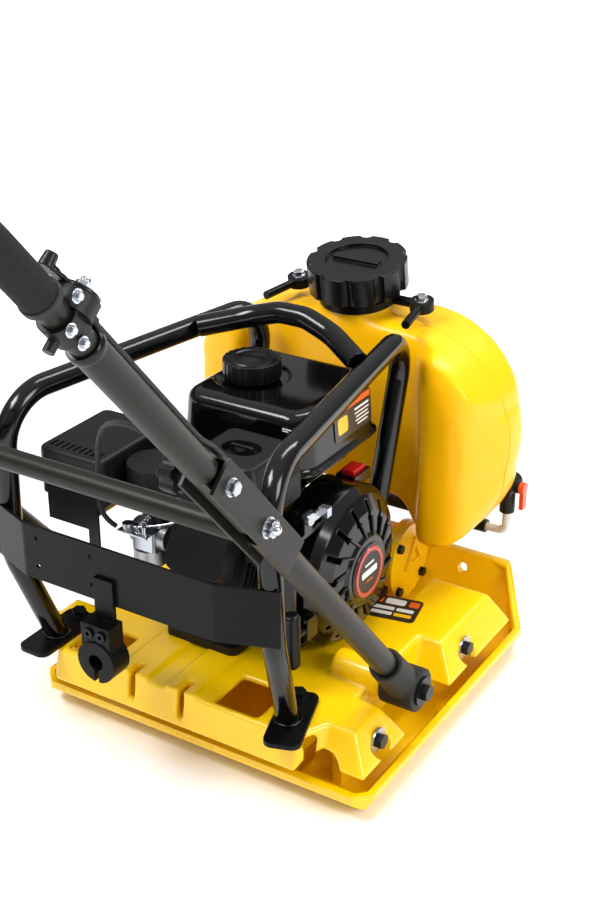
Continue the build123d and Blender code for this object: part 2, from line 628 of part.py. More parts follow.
with BuildPart() as throttle_plate:
    # zinc plate on the carburettor's rear face, with the cable clamp and a stop screw
    rear = CARB_X - 16
    block((rear - 28, CARB_Y - 28, CARB_Z + 22), (rear, CARB_Y + 16, CARB_Z + 24))
    block((rear - 3, CARB_Y - 18, CARB_Z - 12), (rear, CARB_Y + 12, CARB_Z + 23))
    bar((rear - 18, CARB_Y + 6, CARB_Z + 23), (rear - 18, CARB_Y + 6, CARB_Z + 32), 7)
    bar((rear - 22, CARB_Y - 22, CARB_Z + 23), (rear - 22, CARB_Y - 22, CARB_Z + 36), 3)
save(throttle_plate, "throttle_plate")

with BuildPart() as choke_lever:
    bar((LEVER_X, BLOWER_OUT - 0.5, LEVER_Z), (LEVER_X, BLOWER_OUT - 4.5, LEVER_Z), 8)
    block((LEVER_X, BLOWER_OUT - 4.5, LEVER_Z - 5), (LEVER_X + 30, BLOWER_OUT - 0.5, LEVER_Z + 5))
    block((LEVER_X + 22, BLOWER_OUT - 13, LEVER_Z - 6), (LEVER_X + 32, BLOWER_OUT - 0.5, LEVER_Z + 6))
save(choke_lever, "choke_lever")

MUFFLER_X = (-266, -132)
MUFFLER_Y = (120, 218)
with BuildPart() as muffler:
    with BuildSketch(Plane.YZ.offset(MUFFLER_X[0] + 12)):
        with Locations((sum(MUFFLER_Y) / 2, 342)):
            RectangleRounded(78, 72, 18)
    extrude(amount=112)
    bar((-160, CYLINDER_Y + 60, 296), (-160, MUFFLER_Y[0] + 12, 326), 11)
save(muffler, "muffler")

with BuildPart() as muffler_cover:
    block((MUFFLER_X[0], MUFFLER_Y[0], 330), (MUFFLER_X[1], MUFFLER_Y[1], 392))
    fillet(muffler_cover.edges().filter_by(Axis.Z), 12)
    fillet(muffler_cover.edges().group_by(Axis.Z)[-1], 6)
    block((MUFFLER_X[0] + 3, MUFFLER_Y[0] + 3, 329), (MUFFLER_X[1] - 3, MUFFLER_Y[1] - 3, 388), Mode.SUBTRACT)
    with Locations((MUFFLER_X[0] + 18, sum(MUFFLER_Y) / 2, 390)):
        with GridLocations(0, 9, 1, 9):
            Box(16, 4, 20, mode=Mode.SUBTRACT)
    block((-176, MUFFLER_Y[0] - 1, 322), (-144, MUFFLER_Y[0] + 4, 345), Mode.SUBTRACT)
    # rear heat guard below the cover, and its strap down to the block
    block((MUFFLER_X[0], MUFFLER_Y[0] + 8, 296), (MUFFLER_X[0] + 3, MUFFLER_Y[1] - 12, 332))
    block((MUFFLER_X[0], MUFFLER_Y[0] + 8, 232), (MUFFLER_X[0] + 3, MUFFLER_Y[0] + 24, 298))
save(muffler_cover, "muffler_cover")

with BuildPart() as engine_switch:
    block((SWITCH_X - 15, -82, SWITCH_Z - 8), (SWITCH_X + 15, -64, SWITCH_Z + 5))
    fillet(engine_switch.edges().filter_by(Axis.Y), 3)
    bar((SWITCH_X - 19, -73, SWITCH_Z - 4), (SWITCH_X + 19, -73, SWITCH_Z - 4), 2)
save(engine_switch, "engine_switch")

# ---------------------------------------------------------------- roll cage
FOOT = (-252, 179)         # X and half spacing of the rear feet
LEG = (-304, 193)
REAR_CORNER = 187
FRONT_CORNER = (152, 111)
FRONT_FOOT = (52, 108)
FOOT_Z = DECK_TOP + 6


def cage_loop(side):
    return [
        (FOOT[0], CENTRE_Y + side * FOOT[1], FOOT_Z),
        (LEG[0], CENTRE_Y + side * LEG[1], 254),
        (LEG[0], CENTRE_Y + side * REAR_CORNER, CAGE_TOP),
        (FRONT_CORNER[0], CENTRE_Y + side * FRONT_CORNER[1], CAGE_TOP),
        (FRONT_FOOT[0], CENTRE_Y + side * FRONT_FOOT[1], FOOT_Z),
    ]


for side, name in zip(SIDES, ("right", "left")):
    with BuildPart() as cage_side:
        pipe(cage_loop(side), [110, 66, 50], CAGE_TUBE, CAGE_TUBE - 2.5)
    save(cage_side, f"cage_{name}_loop")

HUMP_X = 40
HUMP_TOP = 496
RAIL_SPREAD = 121          # half spacing of the rails where the cross tube meets them
with BuildPart() as cage_cross_tube:
    ends = [
        (HUMP_X - 34, CENTRE_Y - RAIL_SPREAD, CAGE_TOP + 6),
        (HUMP_X, CENTRE_Y - 62, HUMP_TOP - 12),
        (HUMP_X + 6, CENTRE_Y - 20, HUMP_TOP),
        (HUMP_X + 6, CENTRE_Y + 20, HUMP_TOP),
        (HUMP_X, CENTRE_Y + 62, HUMP_TOP - 12),
        (HUMP_X - 34, CENTRE_Y + RAIL_SPREAD, CAGE_TOP + 6),
    ]
    pipe(ends, [90, 60, 60, 90], CAGE_TUBE)
    for side in SIDES:
        loop = cage_loop(side)
        bar(loop[2], loop[3], CAGE_TUBE + 0.05, Mode.SUBTRACT)
save(cage_cross_tube, "cage_cross_tube")

CAGE_BOLTS = [
    (FOOT[0] + 44, CENTRE_Y - FOOT[1] + 12), (FOOT[0] + 48, CENTRE_Y + FOOT[1] + 2),
    (FRONT_FOOT[0] - 24, CENTRE_Y - FRONT_FOOT[1]), (FRONT_FOOT[0] - 24, CENTRE_Y + FRONT_FOOT[1]),
]
with BuildPart() as cage_feet:
    for side in SIDES:
        y = CENTRE_Y + side * FOOT[1]
        with BuildSketch(Plane.XY.offset(DECK_TOP)):
            with Locations(Location((FOOT[0] + 5, y + side * 2), 0 if side > 0 else 18)):
                RectangleRounded(112, 46, 12)
        extrude(amount=6)
        y = CENTRE_Y + side * FRONT_FOOT[1]
        with BuildSketch(Plane.XY.offset(DECK_TOP)):
            with Locations((FRONT_FOOT[0] - 2, y + side * 8)):
                RectangleRounded(60, 44, 10)
        extrude(amount=6)
        loop = cage_loop(side)
        bar(loop[0], loop[1], CAGE_TUBE + 0.05, Mode.SUBTRACT)
        bar(loop[4], loop[3], CAGE_TUBE + 0.05, Mode.SUBTRACT)
    for x, y in CAGE_BOLTS:
        bar((x, y, DECK_TOP - 1), (x, y, FOOT_Z + 1), 5.1, Mode.SUBTRACT)
save(cage_feet, "cage_feet")

# ---------------------------------------------------------------- rear panel and wheel-axle clamp
PANEL_X = -336
PANEL_HALF = 138
PANEL_Z = (256, 329)
PANEL_SKIN = 4
with BuildPart() as rear_panel:
    with BuildSketch(Plane.XY.offset(PANEL_Z[0])):
        with BuildLine() as bend:
            FilletPolyline(
                (LEG[0] - 6, CENTRE_Y - 208), (PANEL_X, CENTRE_Y - PANEL_HALF),
                (PANEL_X, CENTRE_Y + PANEL_HALF), (LEG[0] - 6, CENTRE_Y + 208), radius=10,
            )
            offset(amount=PANEL_SKIN, side=Side.LEFT)
        make_face()
    extrude(amount=PANEL_Z[1] - PANEL_Z[0])
    for side in SIDES:
        loop = cage_loop(side)
        bar(loop[1], loop[2], CAGE_TUBE + 0.05, Mode.SUBTRACT)
    for y in (80, 162):
        for z in (275, 313):
            bar((PANEL_X - 9, y, z), (PANEL_X + 9, y, z), 3, Mode.SUBTRACT)
save(rear_panel, "rear_panel")

CLAMP_Y = 62
CLAMP_Z = 186
CLAMP_X = (-364, -334)
with BuildPart() as axle_clamp:
    bar((CLAMP_X[0], CLAMP_Y, CLAMP_Z), (CLAMP_X[1], CLAMP_Y, CLAMP_Z), 27)
    block((CLAMP_X[0] + 2, CLAMP_Y - 21, CLAMP_Z + 8), (CLAMP_X[1] - 2, CLAMP_Y + 21, CLAMP_Z + 50))
    # hanger strap up to the panel
    block((PANEL_X - PANEL_SKIN - 5, CLAMP_Y - 16, CLAMP_Z + 40),
          (PANEL_X - PANEL_SKIN, CLAMP_Y + 12, PANEL_Z[0] + 34))
    bar((CLAMP_X[0] - 1, CLAMP_Y, CLAMP_Z), (CLAMP_X[1] + 1, CLAMP_Y, CLAMP_Z), 10.5, Mode.SUBTRACT)
    block((CLAMP_X[0] - 1, CLAMP_Y - 3, CLAMP_Z - 30), (CLAMP_X[1] + 1, CLAMP_Y + 3, CLAMP_Z), Mode.SUBTRACT)
    for y in (CLAMP_Y - 9, CLAMP_Y + 9):
        bar((CLAMP_X[0] - 1, y, CLAMP_Z + 38), (CLAMP_X[0] + 8, y, CLAMP_Z + 38), 6.6, Mode.SUBTRACT)
save(axle_clamp, "axle_clamp")

with BuildPart() as cage_bolts:
    for x, y in CAGE_BOLTS:
        bar((x, y, FOOT_Z), (x, y, FOOT_Z + 2.5), 12)
        hex_bolt((x, y, FOOT_Z + 2.5), (0, 0, 1), 17, 8, 5, 8)
    # socket screws of the axle clamp
    for y in (CLAMP_Y - 9, CLAMP_Y + 9):
        bar((CLAMP_X[0] + 8, y, CLAMP_Z + 38), (CLAMP_X[0] - 1, y, CLAMP_Z + 38), 6.5)
        with BuildSketch(Plane(origin=(CLAMP_X[0] - 1, y, CLAMP_Z + 38), z_dir=(-1, 0, 0))):
            RegularPolygon(3, 6)
        extrude(amount=-5, mode=Mode.SUBTRACT)
save(cage_bolts, "cage_bolts")

# ---------------------------------------------------------------- handle
with BuildPart() as handle_buffers:
    for side in SIDES:
        near = (PIVOT[0], mount_y(side, HUB_IN), PIVOT[1])
        far = (PIVOT[0], mount_y(side, HUB_OUT), PIVOT[1])
        bar(near, far, 28)
        with Locations(arm_plane(0, arm_y(side))):
            Cone(23, 21, 84, align=FLOOR)
        bar((near[0], near[1] - side, near[2]), (far[0], far[1] + side, far[2]), 6.3, Mode.SUBTRACT)
        bar(on_arm(34, 0, arm_y(side)), on_arm(90, 0, arm_y(side)), HANDLE_TUBE + 0.05, Mode.SUBTRACT)
save(handle_buffers, "handle_buffers")

with BuildPart() as pivot_bolts:
    for side in SIDES:
        seat = (PIVOT[0], mount_y(side, HUB_OUT + 0.4), PIVOT[1])
        bar(seat, (PIVOT[0], mount_y(side, HUB_OUT + 3.4), PIVOT[1]), 19)
        hex_bolt((PIVOT[0], mount_y(side, HUB_OUT + 3.4), PIVOT[1]), (0, side, 0), 19, 8, 6, 112)
save(pivot_bolts, "pivot_bolts")

CROSSBAR_AT = 470
ARM_END = 488


def crossbar_ends():
    return [on_arm(CROSSBAR_AT, 0, arm_y(side) - side * 13.5) for side in SIDES]


with BuildPart() as lower_handle:
    for side in SIDES:
        bar(on_arm(34, 0, arm_y(side)), on_arm(ARM_END, 0, arm_y(side)), HANDLE_TUBE)
        bar(on_arm(33, 0, arm_y(side)), on_arm(ARM_END + 1, 0, arm_y(side)), HANDLE_TUBE - 2, Mode.SUBTRACT)
    bar(*crossbar_ends(), 12.5)
save(lower_handle, "lower_handle")

CHEEK = 4                  # fold bracket: two cheeks and a back, open on the underside
TONGUE = 19
BRACKET = (432, 622)
with BuildPart() as fold_brackets:
    for side in SIDES:
        with BuildSketch(arm_plane(BRACKET[0], arm_y(side))) as channel:
            Rectangle(2 * HANDLE_TUBE + 2 * CHEEK, 2 * HANDLE_TUBE + 2 * CHEEK)
            with Locations((-CHEEK, 0)):
                Rectangle(2 * HANDLE_TUBE + 2 * CHEEK, 2 * HANDLE_TUBE + 0.1, mode=Mode.SUBTRACT)
        extrude(channel.sketch, amount=BRACKET[1] - BRACKET[0])
        bar(*crossbar_ends(), 12.55, Mode.SUBTRACT)
        for distance, radius in ((HINGE_AT, 5), (KNOB_AT, 4.2)):
            bar(on_arm(distance, 0, arm_y(side) - 30), on_arm(distance, 0, arm_y(side) + 30), radius,
                Mode.SUBTRACT)
save(fold_brackets, "fold_brackets")

with BuildPart() as hinge_bolts:
    for side in SIDES:
        out = arm_y(side) + side * (HANDLE_TUBE + CHEEK)
        back = arm_y(side) - side * (HANDLE_TUBE + CHEEK)
        hex_bolt(on_arm(HINGE_AT, 0, out), (0, side, 0), 16, 7, 5, 2 * (HANDLE_TUBE + CHEEK))
        with BuildSketch(Plane(origin=on_arm(HINGE_AT, 0, back), z_dir=(0, -side, 0))) as nut:
            RegularPolygon(8, 6, major_radius=False)
        extrude(nut.sketch, amount=7)
save(hinge_bolts, "hinge_bolts")

GRIP_BAR = 12.7
with BuildPart() as upper_handle:
    for side in SIDES:
        with BuildSketch(arm_plane(HINGE_AT, arm_y(side))) as tongue:
            Rectangle(24, TONGUE)
        extrude(tongue.sketch, amount=140)
        bar(on_arm(HINGE_AT, 0, arm_y(side) - TONGUE / 2), on_arm(HINGE_AT, 0, arm_y(side) + TONGUE / 2), 12)
    for side in SIDES:
        bar(on_arm(HINGE_AT, 0, arm_y(side) - 12), on_arm(HINGE_AT, 0, arm_y(side) + 12), 5.05, Mode.SUBTRACT)
        bar(on_arm(BRACKET[1] + 4, 0, arm_y(side)), on_arm(845, 0, arm_y(side)), HANDLE_TUBE)
    pipe([on_arm(840, 0, arm_y(-1)), on_arm(HANDLE_LENGTH, 0, arm_y(-1)),
          on_arm(HANDLE_LENGTH, 0, arm_y(1)), on_arm(840, 0, arm_y(1))], [80, 80], GRIP_BAR)
save(upper_handle, "upper_handle")

GRIP_FROM = 915
with BuildPart() as foam_grip:
    pipe([on_arm(GRIP_FROM, 0, arm_y(-1)), on_arm(HANDLE_LENGTH, 0, arm_y(-1)),
          on_arm(HANDLE_LENGTH, 0, arm_y(1)), on_arm(GRIP_FROM, 0, arm_y(1))], [80, 80], 16.5, GRIP_BAR)
save(foam_grip, "foam_grip")

for side, name in zip(SIDES, ("right", "left")):
    inner = arm_y(side) - side * (HANDLE_TUBE + CHEEK)
    with BuildPart() as star_knob:
        with BuildSketch(Plane(origin=on_arm(KNOB_AT, 0, inner - side * 14), x_dir=ARM_DIR, z_dir=(0, -side, 0))):
            Circle(21)
            with PolarLocations(24, 6):
                Circle(7, mode=Mode.SUBTRACT)
        extrude(amount=16)
        fillet(star_knob.edges().group_by(Axis.Y)[0] + star_knob.edges().group_by(Axis.Y)[-1], 1.5)
        bar(on_arm(KNOB_AT, 0, inner - side * 0.4), on_arm(KNOB_AT, 0, inner - side * 15), 10)
        bar(on_arm(KNOB_AT, 0, inner + side * 8), on_arm(KNOB_AT, 0, inner - side * 1), 4.15)
    save(star_knob, f"star_knob_{name}")

# ---------------------------------------------------------------- throttle lever and cable
LEVER_AT = 880
LEVER_SEAT = 24
with BuildPart() as throttle_clamp:
    y = arm_y(-1)
    bar(on_arm(868, 0, y), on_arm(892, 0, y), GRIP_BAR + 4)
    bar(on_arm(LEVER_AT, 8, y), on_arm(LEVER_AT, LEVER_SEAT, y), 19)
    bar(on_arm(860, 0, y), on_arm(900, 0, y), GRIP_BAR + 0.05, Mode.SUBTRACT)
    bar(on_arm(880, -26, y), on_arm(880, -15, y), 5)
    bar(on_arm(850, 18.5, y), on_arm(872, 18.5, y), 5)
save(throttle_clamp, "throttle_clamp")

with BuildPart() as throttle_lever:
    y = arm_y(-1)
    bar(on_arm(LEVER_AT, LEVER_SEAT + 0.4, y), on_arm(LEVER_AT, LEVER_SEAT + 4.4, y), 17)
    bar(on_arm(LEVER_AT, LEVER_SEAT + 4, y), on_arm(LEVER_AT, LEVER_SEAT + 14, y), 6)
    with BuildSketch(Plane(origin=on_arm(LEVER_AT, LEVER_SEAT + 0.4, y), x_dir=ARM_DIR, z_dir=ARM_UP)) as arm:
        with Locations((19, 14)):
            Rectangle(34, 12)
    extrude(arm.sketch, amount=4)
    bar(on_arm(LEVER_AT + 31, LEVER_SEAT + 2, y - 14), on_arm(LEVER_AT + 34, LEVER_SEAT + 34, y - 17), 5)
save(throttle_lever, "throttle_lever")

CABLE = 3.2
CABLE_SPLIT = 664          # where the cable leaves the upper tube
with BuildPart() as throttle_cable_upper:
    y = arm_y(-1)
    bar(on_arm(849.8, 18.5, y), on_arm(CABLE_SPLIT, 18.5, y), CABLE)
save(throttle_cable_upper, "throttle_cable_upper")

# the cable's slack loop, from the fold bracket over the air cleaner to the carburettor
CABLE_LOOP = [
    on_arm(CABLE_SPLIT - 0.2, 18.5, arm_y(-1)), on_arm(648, 18.5, arm_y(-1)), on_arm(624, 24.5, arm_y(-1) + 1),
    on_arm(556, 25, arm_y(-1) + 3), on_arm(500, 25, arm_y(-1) + 5), on_arm(440, 28, arm_y(-1) + 9),
    (-372, -196, 453), (-366, -173, 456), (-380, -138, 488), (-394, -102, 516), (-398, -58, 530),
    (-382, -12, 524), (-356, 32, 500), (-326, 68, 462), (-302, 92, 414), (-288, 106, 362),
    (-276, 110, 326), (-262, 104, 311),
]


def smooth_radii(points):
    """Largest arc at each corner of a cord that leaves its runs some straight."""
    radii = []
    for before, corner, after in zip(points, points[1:], points[2:]):
        back = Vector(*before) - Vector(*corner)
        ahead = Vector(*after) - Vector(*corner)
        turn = radians(180 - back.get_angle(ahead))
        radii.append(0.45 * min(back.length, ahead.length) / tan(turn / 2))
    return radii


LOOP_RADII = smooth_radii(CABLE_LOOP)
print("cable arc radii", [round(radius) for radius in LOOP_RADII])
with BuildPart() as throttle_cable_loop:
    pipe(CABLE_LOOP, LOOP_RADII, CABLE)
save(throttle_cable_loop, "throttle_cable_loop")

# ---------------------------------------------------------------- water tank
TANK_REAR = 130
TANK_NOSE = 300
TANK_SADDLE = 172          # rear face between the cage's front legs
NECK_TILT = 10             # the filler leans back to the operator
NECK_X = 228
NECK_BASE = 436
NECK_RADIUS = 50


def tank_shape(inset):
    """Blow-moulded tank: two saddle lobes under rounded shoulders."""
    with BuildPart() as shell:
        with BuildSketch(Plane.YZ.offset(TANK_REAR)):
            with BuildLine():
                for side in SIDES:
                    FilletPolyline(
                        (CENTRE_Y, 196), (CENTRE_Y + side * 96, 196), (CENTRE_Y + side * 122, 150),
                        (CENTRE_Y + side * 200, 158), (CENTRE_Y + side * 242, 250),
                        (CENTRE_Y + side * 238, 352), (CENTRE_Y + side * 112, 452), (CENTRE_Y, 456),
                        radius=[18, 24, 40, 60, 50, 40],
                    )
            make_face()
            if inset:
                offset(amount=-inset)
        extrude(amount=TANK_NOSE - TANK_REAR)
        with BuildSketch(Plane.XY.offset(100)):
            with BuildLine():
                for side in SIDES:
                    FilletPolyline(
                        (TANK_SADDLE, CENTRE_Y), (TANK_SADDLE, CENTRE_Y + side * 129),
                        (TANK_REAR, CENTRE_Y + side * 144), (TANK_REAR, CENTRE_Y + side * 206),
                        (232, CENTRE_Y + side * 246), (278, CENTRE_Y + side * 232),
                        (TANK_NOSE, CENTRE_Y + side * 120), (TANK_NOSE, CENTRE_Y),
                        radius=[12, 12, 26, 40, 40, 60],
                    )
            make_face()
            if inset:
                offset(amount=-inset)
        extrude(amount=400, mode=Mode.INTERSECT)
    return shell.part


NECK = Plane(origin=(NECK_X, CENTRE_Y, NECK_BASE),
             z_dir=(-sin(radians(NECK_TILT)), 0, cos(radians(NECK_TILT))), x_dir=(0, 1, 0))


def on_neck(height, across=0):
    """Point on the filler's axis, or to the side of it."""
    return tuple(NECK.from_local_coords((across, 0, height)))


with BuildPart() as water_tank:
    add(tank_shape(0))
    bar(on_neck(0), on_neck(62), NECK_RADIUS)
    add(tank_shape(4), mode=Mode.SUBTRACT)
    bar(on_neck(-6), on_neck(63), NECK_RADIUS - 4, Mode.SUBTRACT)
save(water_tank, "water_tank")

CAP_SEAT = 52
with BuildPart() as water_cap:
    cap_plane = Plane(origin=on_neck(CAP_SEAT), x_dir=(0, 1, 0), z_dir=NECK.z_dir)
    cap = ribbed_cap(70, 40, 10, 9, NECK_RADIUS + 0.4)
    with Locations(cap_plane):
        add(cap)
        with Locations((0, 0, 40)):
            Cylinder(44, 4, align=(Align.CENTER, Align.CENTER, Align.MAX), mode=Mode.SUBTRACT)
            with Locations((0, 0, -2)):
                Box(70, 12, 5)
save(water_cap, "water_cap")

EAR = 98
with BuildPart() as tank_bracket:
    bar(on_neck(34), on_neck(44), NECK_RADIUS + 7)
    for side in SIDES:
        bar(on_neck(39, side * 40), on_neck(39, side * EAR), 7)
        bar(on_neck(32, side * EAR), on_neck(46, side * EAR), 17)
        # strut down to the front of the cage rail
        bar(on_neck(39, side * EAR),
            (FRONT_CORNER[0] - 12, CENTRE_Y + side * (FRONT_CORNER[1] + 1), CAGE_TOP + 6), 6)
        loop = cage_loop(side)
        bar(loop[2], loop[3], CAGE_TUBE + 0.05, Mode.SUBTRACT)
    bar(on_neck(20), on_neck(50), NECK_RADIUS + 0.1, Mode.SUBTRACT)
save(tank_bracket, "tank_bracket")

VALVE_X = 262
VALVE_Y = -176
with BuildPart() as water_valve:
    bar((VALVE_X - 10, VALVE_Y, 208), (VALVE_X + 34, VALVE_Y, 208), 13)
    bar((VALVE_X + 14, VALVE_Y, 208), (VALVE_X + 14, VALVE_Y, 166), 11)
    bar((VALVE_X + 14, VALVE_Y, 208), (VALVE_X + 14, VALVE_Y - 18, 208), 9)
    add(tank_shape(0), mode=Mode.SUBTRACT)
save(water_valve, "water_valve")

with BuildPart() as valve_lever:
    bar((VALVE_X + 14, VALVE_Y - 18.4, 208), (VALVE_X + 14, VALVE_Y - 26, 208), 9)
    block((VALVE_X + 8, VALVE_Y - 26, 176), (VALVE_X + 20, VALVE_Y - 20, 208))
save(valve_lever, "valve_lever")

SPRAY_X = VALVE_X + 14
SPRAY_Z = 132
with BuildPart() as spray_tube:
    bar((SPRAY_X, CENTRE_Y - 190, SPRAY_Z), (SPRAY_X, CENTRE_Y + 190, SPRAY_Z), 10)
    for index in range(18):
        y = CENTRE_Y - 170 + index * 20
        bar((SPRAY_X, y, SPRAY_Z), (SPRAY_X, y, SPRAY_Z - 12), 1.5, Mode.SUBTRACT)
    for side in SIDES:
        block((SPRAY_X - 9, CENTRE_Y + side * 150 - 8, SPRAY_Z + 2),
              (SPRAY_X - 4, CENTRE_Y + side * 150 + 8, SPRAY_Z + 54))
    add(tank_shape(0), mode=Mode.SUBTRACT)
save(spray_tube, "spray_tube")

HOSE = [(SPRAY_X, VALVE_Y, 166), (SPRAY_X, VALVE_Y, SPRAY_Z), (SPRAY_X, CENTRE_Y - 190, SPRAY_Z)]
with BuildPart() as water_hose:
    pipe(HOSE, [13], 6)
save(water_hose, "water_hose")
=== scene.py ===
import json
from math import cos, pi, radians, sin

import bmesh
import bpy
from mathutils import Matrix, Vector


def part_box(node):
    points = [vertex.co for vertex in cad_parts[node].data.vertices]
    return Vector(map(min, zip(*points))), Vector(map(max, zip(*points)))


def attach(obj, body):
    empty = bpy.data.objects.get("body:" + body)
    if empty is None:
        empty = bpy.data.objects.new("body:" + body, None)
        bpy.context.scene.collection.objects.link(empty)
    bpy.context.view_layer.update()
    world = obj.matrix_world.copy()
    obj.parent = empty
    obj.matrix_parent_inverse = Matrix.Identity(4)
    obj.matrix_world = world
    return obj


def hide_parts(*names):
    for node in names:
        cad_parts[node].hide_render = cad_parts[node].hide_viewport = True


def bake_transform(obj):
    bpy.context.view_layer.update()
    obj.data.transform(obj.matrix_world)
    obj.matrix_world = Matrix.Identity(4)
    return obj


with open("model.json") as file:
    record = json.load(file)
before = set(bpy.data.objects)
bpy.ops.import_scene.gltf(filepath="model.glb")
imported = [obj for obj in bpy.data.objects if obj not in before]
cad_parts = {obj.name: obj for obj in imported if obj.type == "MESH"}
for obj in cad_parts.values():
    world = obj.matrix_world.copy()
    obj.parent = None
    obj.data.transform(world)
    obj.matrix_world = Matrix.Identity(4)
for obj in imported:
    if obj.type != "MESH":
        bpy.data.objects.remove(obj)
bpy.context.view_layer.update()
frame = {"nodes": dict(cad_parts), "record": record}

cadNodes = frame["nodes"]
slotOf = {row["node"]: row["material_slot"] for row in frame["record"]["subparts"]}
mm = 0.001

# lengths below are millimetres unless a name says otherwise; +X is forward, +Y left, +Z up
handle = {"pivot": (-118, 113), "angle": radians(49), "rightY": -222, "leftY": 272}
crank = (-54, 216)
tankMiddle = 44


def onArm(distance, lift=0, y=0):
    x = handle["pivot"][0] - distance * cos(handle["angle"]) + lift * sin(handle["angle"])
    z = handle["pivot"][1] + distance * sin(handle["angle"]) + lift * cos(handle["angle"])
    return (x, y, z)


def toLinear(hexColour):
    parts = [int(hexColour[i:i + 2], 16) / 255 for i in (1, 3, 5)]
    return [p / 12.92 if p <= 0.04045 else ((p + 0.055) / 1.055) ** 2.4 for p in parts] + [1]


def addNode(tree, kind, settings=None, links=None):
    node = tree.nodes.new(kind)
    for key, value in (settings or {}).items():
        if hasattr(node, key):
            setattr(node, key, value)
        else:
            node.inputs[key].default_value = value
    for key, output in (links or {}).items():
        tree.links.new(output, node.inputs[key])
    return node


finishes = {
    # powder coat on cast iron and plate: thick gloss with a slight orange peel
    "yellowPowderCoat": {"colour": "#FFD000", "shade": "#F7C200", "roughness": 0.26, "coat": 0.25,
                         "grain": 3.0, "depth": 0.05, "soften": 2.5},
    # blow-moulded polyethylene: waxy, a little light goes into it
    "yellowPolyethylene": {"colour": "#FBBE00", "shade": "#F6B200", "roughness": 0.32, "specular": 0.3,
                           "grain": 9.0, "depth": 0.05, "soften": 1.0, "subsurface": 0.06},
    # powder coat on bent tube and sheet: deep black gloss
    "blackPowderCoat": {"colour": "#070708", "shade": "#0C0C0D", "roughness": 0.34, "specular": 0.14,
                        "grain": 2.5, "depth": 0.03, "soften": 1.5},
    # enamel on pressed steel: the fuel tank and starter housing shine most
    "blackEnamel": {"colour": "#040405", "shade": "#070708", "roughness": 0.12, "specular": 0.38,
                    "grain": 6.0, "depth": 0.015, "soften": 2.5},
    # satin powder coat on the handle tubes: olive black
    "graphitePowderCoat": {"colour": "#161613", "shade": "#1D1D18", "roughness": 0.38, "specular": 0.2,
                           "grain": 1.6, "depth": 0.03, "soften": 1.2},
    # spark-eroded texture on moulded nylon and ABS: fine matte grain, drawn coarse enough to show
    "texturedNylon": {"colour": "#0B0B0C", "shade": "#0F0F10", "roughness": 0.46, "specular": 0.26,
                      "grain": 1.3, "depth": 0.06, "soften": 1.2},
    "glossNylon": {"colour": "#070708", "shade": "#0C0C0D", "roughness": 0.28, "specular": 0.26,
                   "grain": 2.0, "depth": 0.02, "soften": 1.2},
    # black heat paint on the finned castings
    "castingBlack": {"colour": "#0A0A0B", "shade": "#101011", "roughness": 0.42, "specular": 0.3,
                     "grain": 1.5, "depth": 0.1, "soften": 1.0},
    # moulded natural rubber: dull, with a grey bloom
    "mouldedRubber": {"colour": "#141413", "shade": "#1B1B19", "roughness": 0.55, "specular": 0.3,
                      "grain": 1.5, "depth": 0.05, "soften": 2.0},
    # closed-cell nitrile foam: cells of a tenth of a millimetre, drawn at one
    "nitrileFoam": {"colour": "#171718", "shade": "#1F1F20", "roughness": 0.85, "specular": 0.2,
                    "grain": 1.2, "depth": 0.22, "soften": 1.0, "cells": True},
    # bright zinc plate: pale blue-white metal with fine tumbling marks
    "brightZinc": {"colour": "#C9CDD2", "shade": "#A9AEB5", "roughness": 0.24, "metal": 1.0,
                   "grain": 1.2, "depth": 0.02, "soften": 0.5},
    # black oxide on hardened bolts: dark, oily metal
    "blackOxide": {"colour": "#2A2B2E", "shade": "#1D1E20", "roughness": 0.36, "metal": 0.85,
                   "grain": 0.9, "depth": 0.03, "soften": 0.6},
    # die-cast aluminium, shot-blasted: light grey, grainy
    "castAluminium": {"colour": "#B4B6B8", "shade": "#96989B", "roughness": 0.42, "metal": 1.0,
                      "grain": 1.1, "depth": 0.08, "soften": 0.8},
    "machinedSteel": {"colour": "#9B9DA0", "shade": "#7C7E82", "roughness": 0.3, "metal": 1.0,
                      "grain": 0.8, "depth": 0.03, "soften": 0.5},
    "greyIron": {"colour": "#4B4C4E", "shade": "#3A3B3D", "roughness": 0.55, "metal": 0.8,
                 "grain": 1.6, "depth": 0.12, "soften": 1.0},
    # translucent vinyl hose
    "clearVinyl": {"colour": "#D4D6D0", "shade": "#C2C5BE", "roughness": 0.22, "coat": 0.0,
                   "grain": 4.0, "depth": 0.01, "soften": 0.8, "subsurface": 0.4},
    "redAbs": {"colour": "#C01818", "shade": "#A81212", "roughness": 0.28, "coat": 0.3,
               "grain": 2.0, "depth": 0.01, "soften": 1.0},
    "orangeAbs": {"colour": "#E8481C", "shade": "#D63E15", "roughness": 0.3, "coat": 0.3,
                  "grain": 2.0, "depth": 0.01, "soften": 1.0},
    # printed vinyl stickers
    "stickerBlack": {"colour": "#141416", "shade": "#18181A", "roughness": 0.3, "coat": 0.3,
                     "grain": 5.0, "depth": 0.005, "soften": 0.2},
    "stickerWhite": {"colour": "#E9E9E4", "shade": "#DEDED8", "roughness": 0.35, "coat": 0.3,
                     "grain": 5.0, "depth": 0.005, "soften": 0.2},
    "stickerYellow": {"colour": "#F4C20D", "shade": "#EDB808", "roughness": 0.35, "coat": 0.3,
                      "grain": 5.0, "depth": 0.005, "soften": 0.2},
    "stickerOrange": {"colour": "#E9641B", "shade": "#E05A14", "roughness": 0.35, "coat": 0.3,
                      "grain": 5.0, "depth": 0.005, "soften": 0.2},
}


# what all finishes share: slow drift of tone over about a hand's width, and the clear coat
allOver = {"driftScale": 9.0, "driftDetail": 4.0, "driftRoughness": 0.6, "sheenLow": 0.8, "sheenHigh": 1.2,
           "coatRoughness": 0.08, "plainSpecular": 0.5, "glowDepth": 4, "glowTint": (1.0, 0.6, 0.2)}


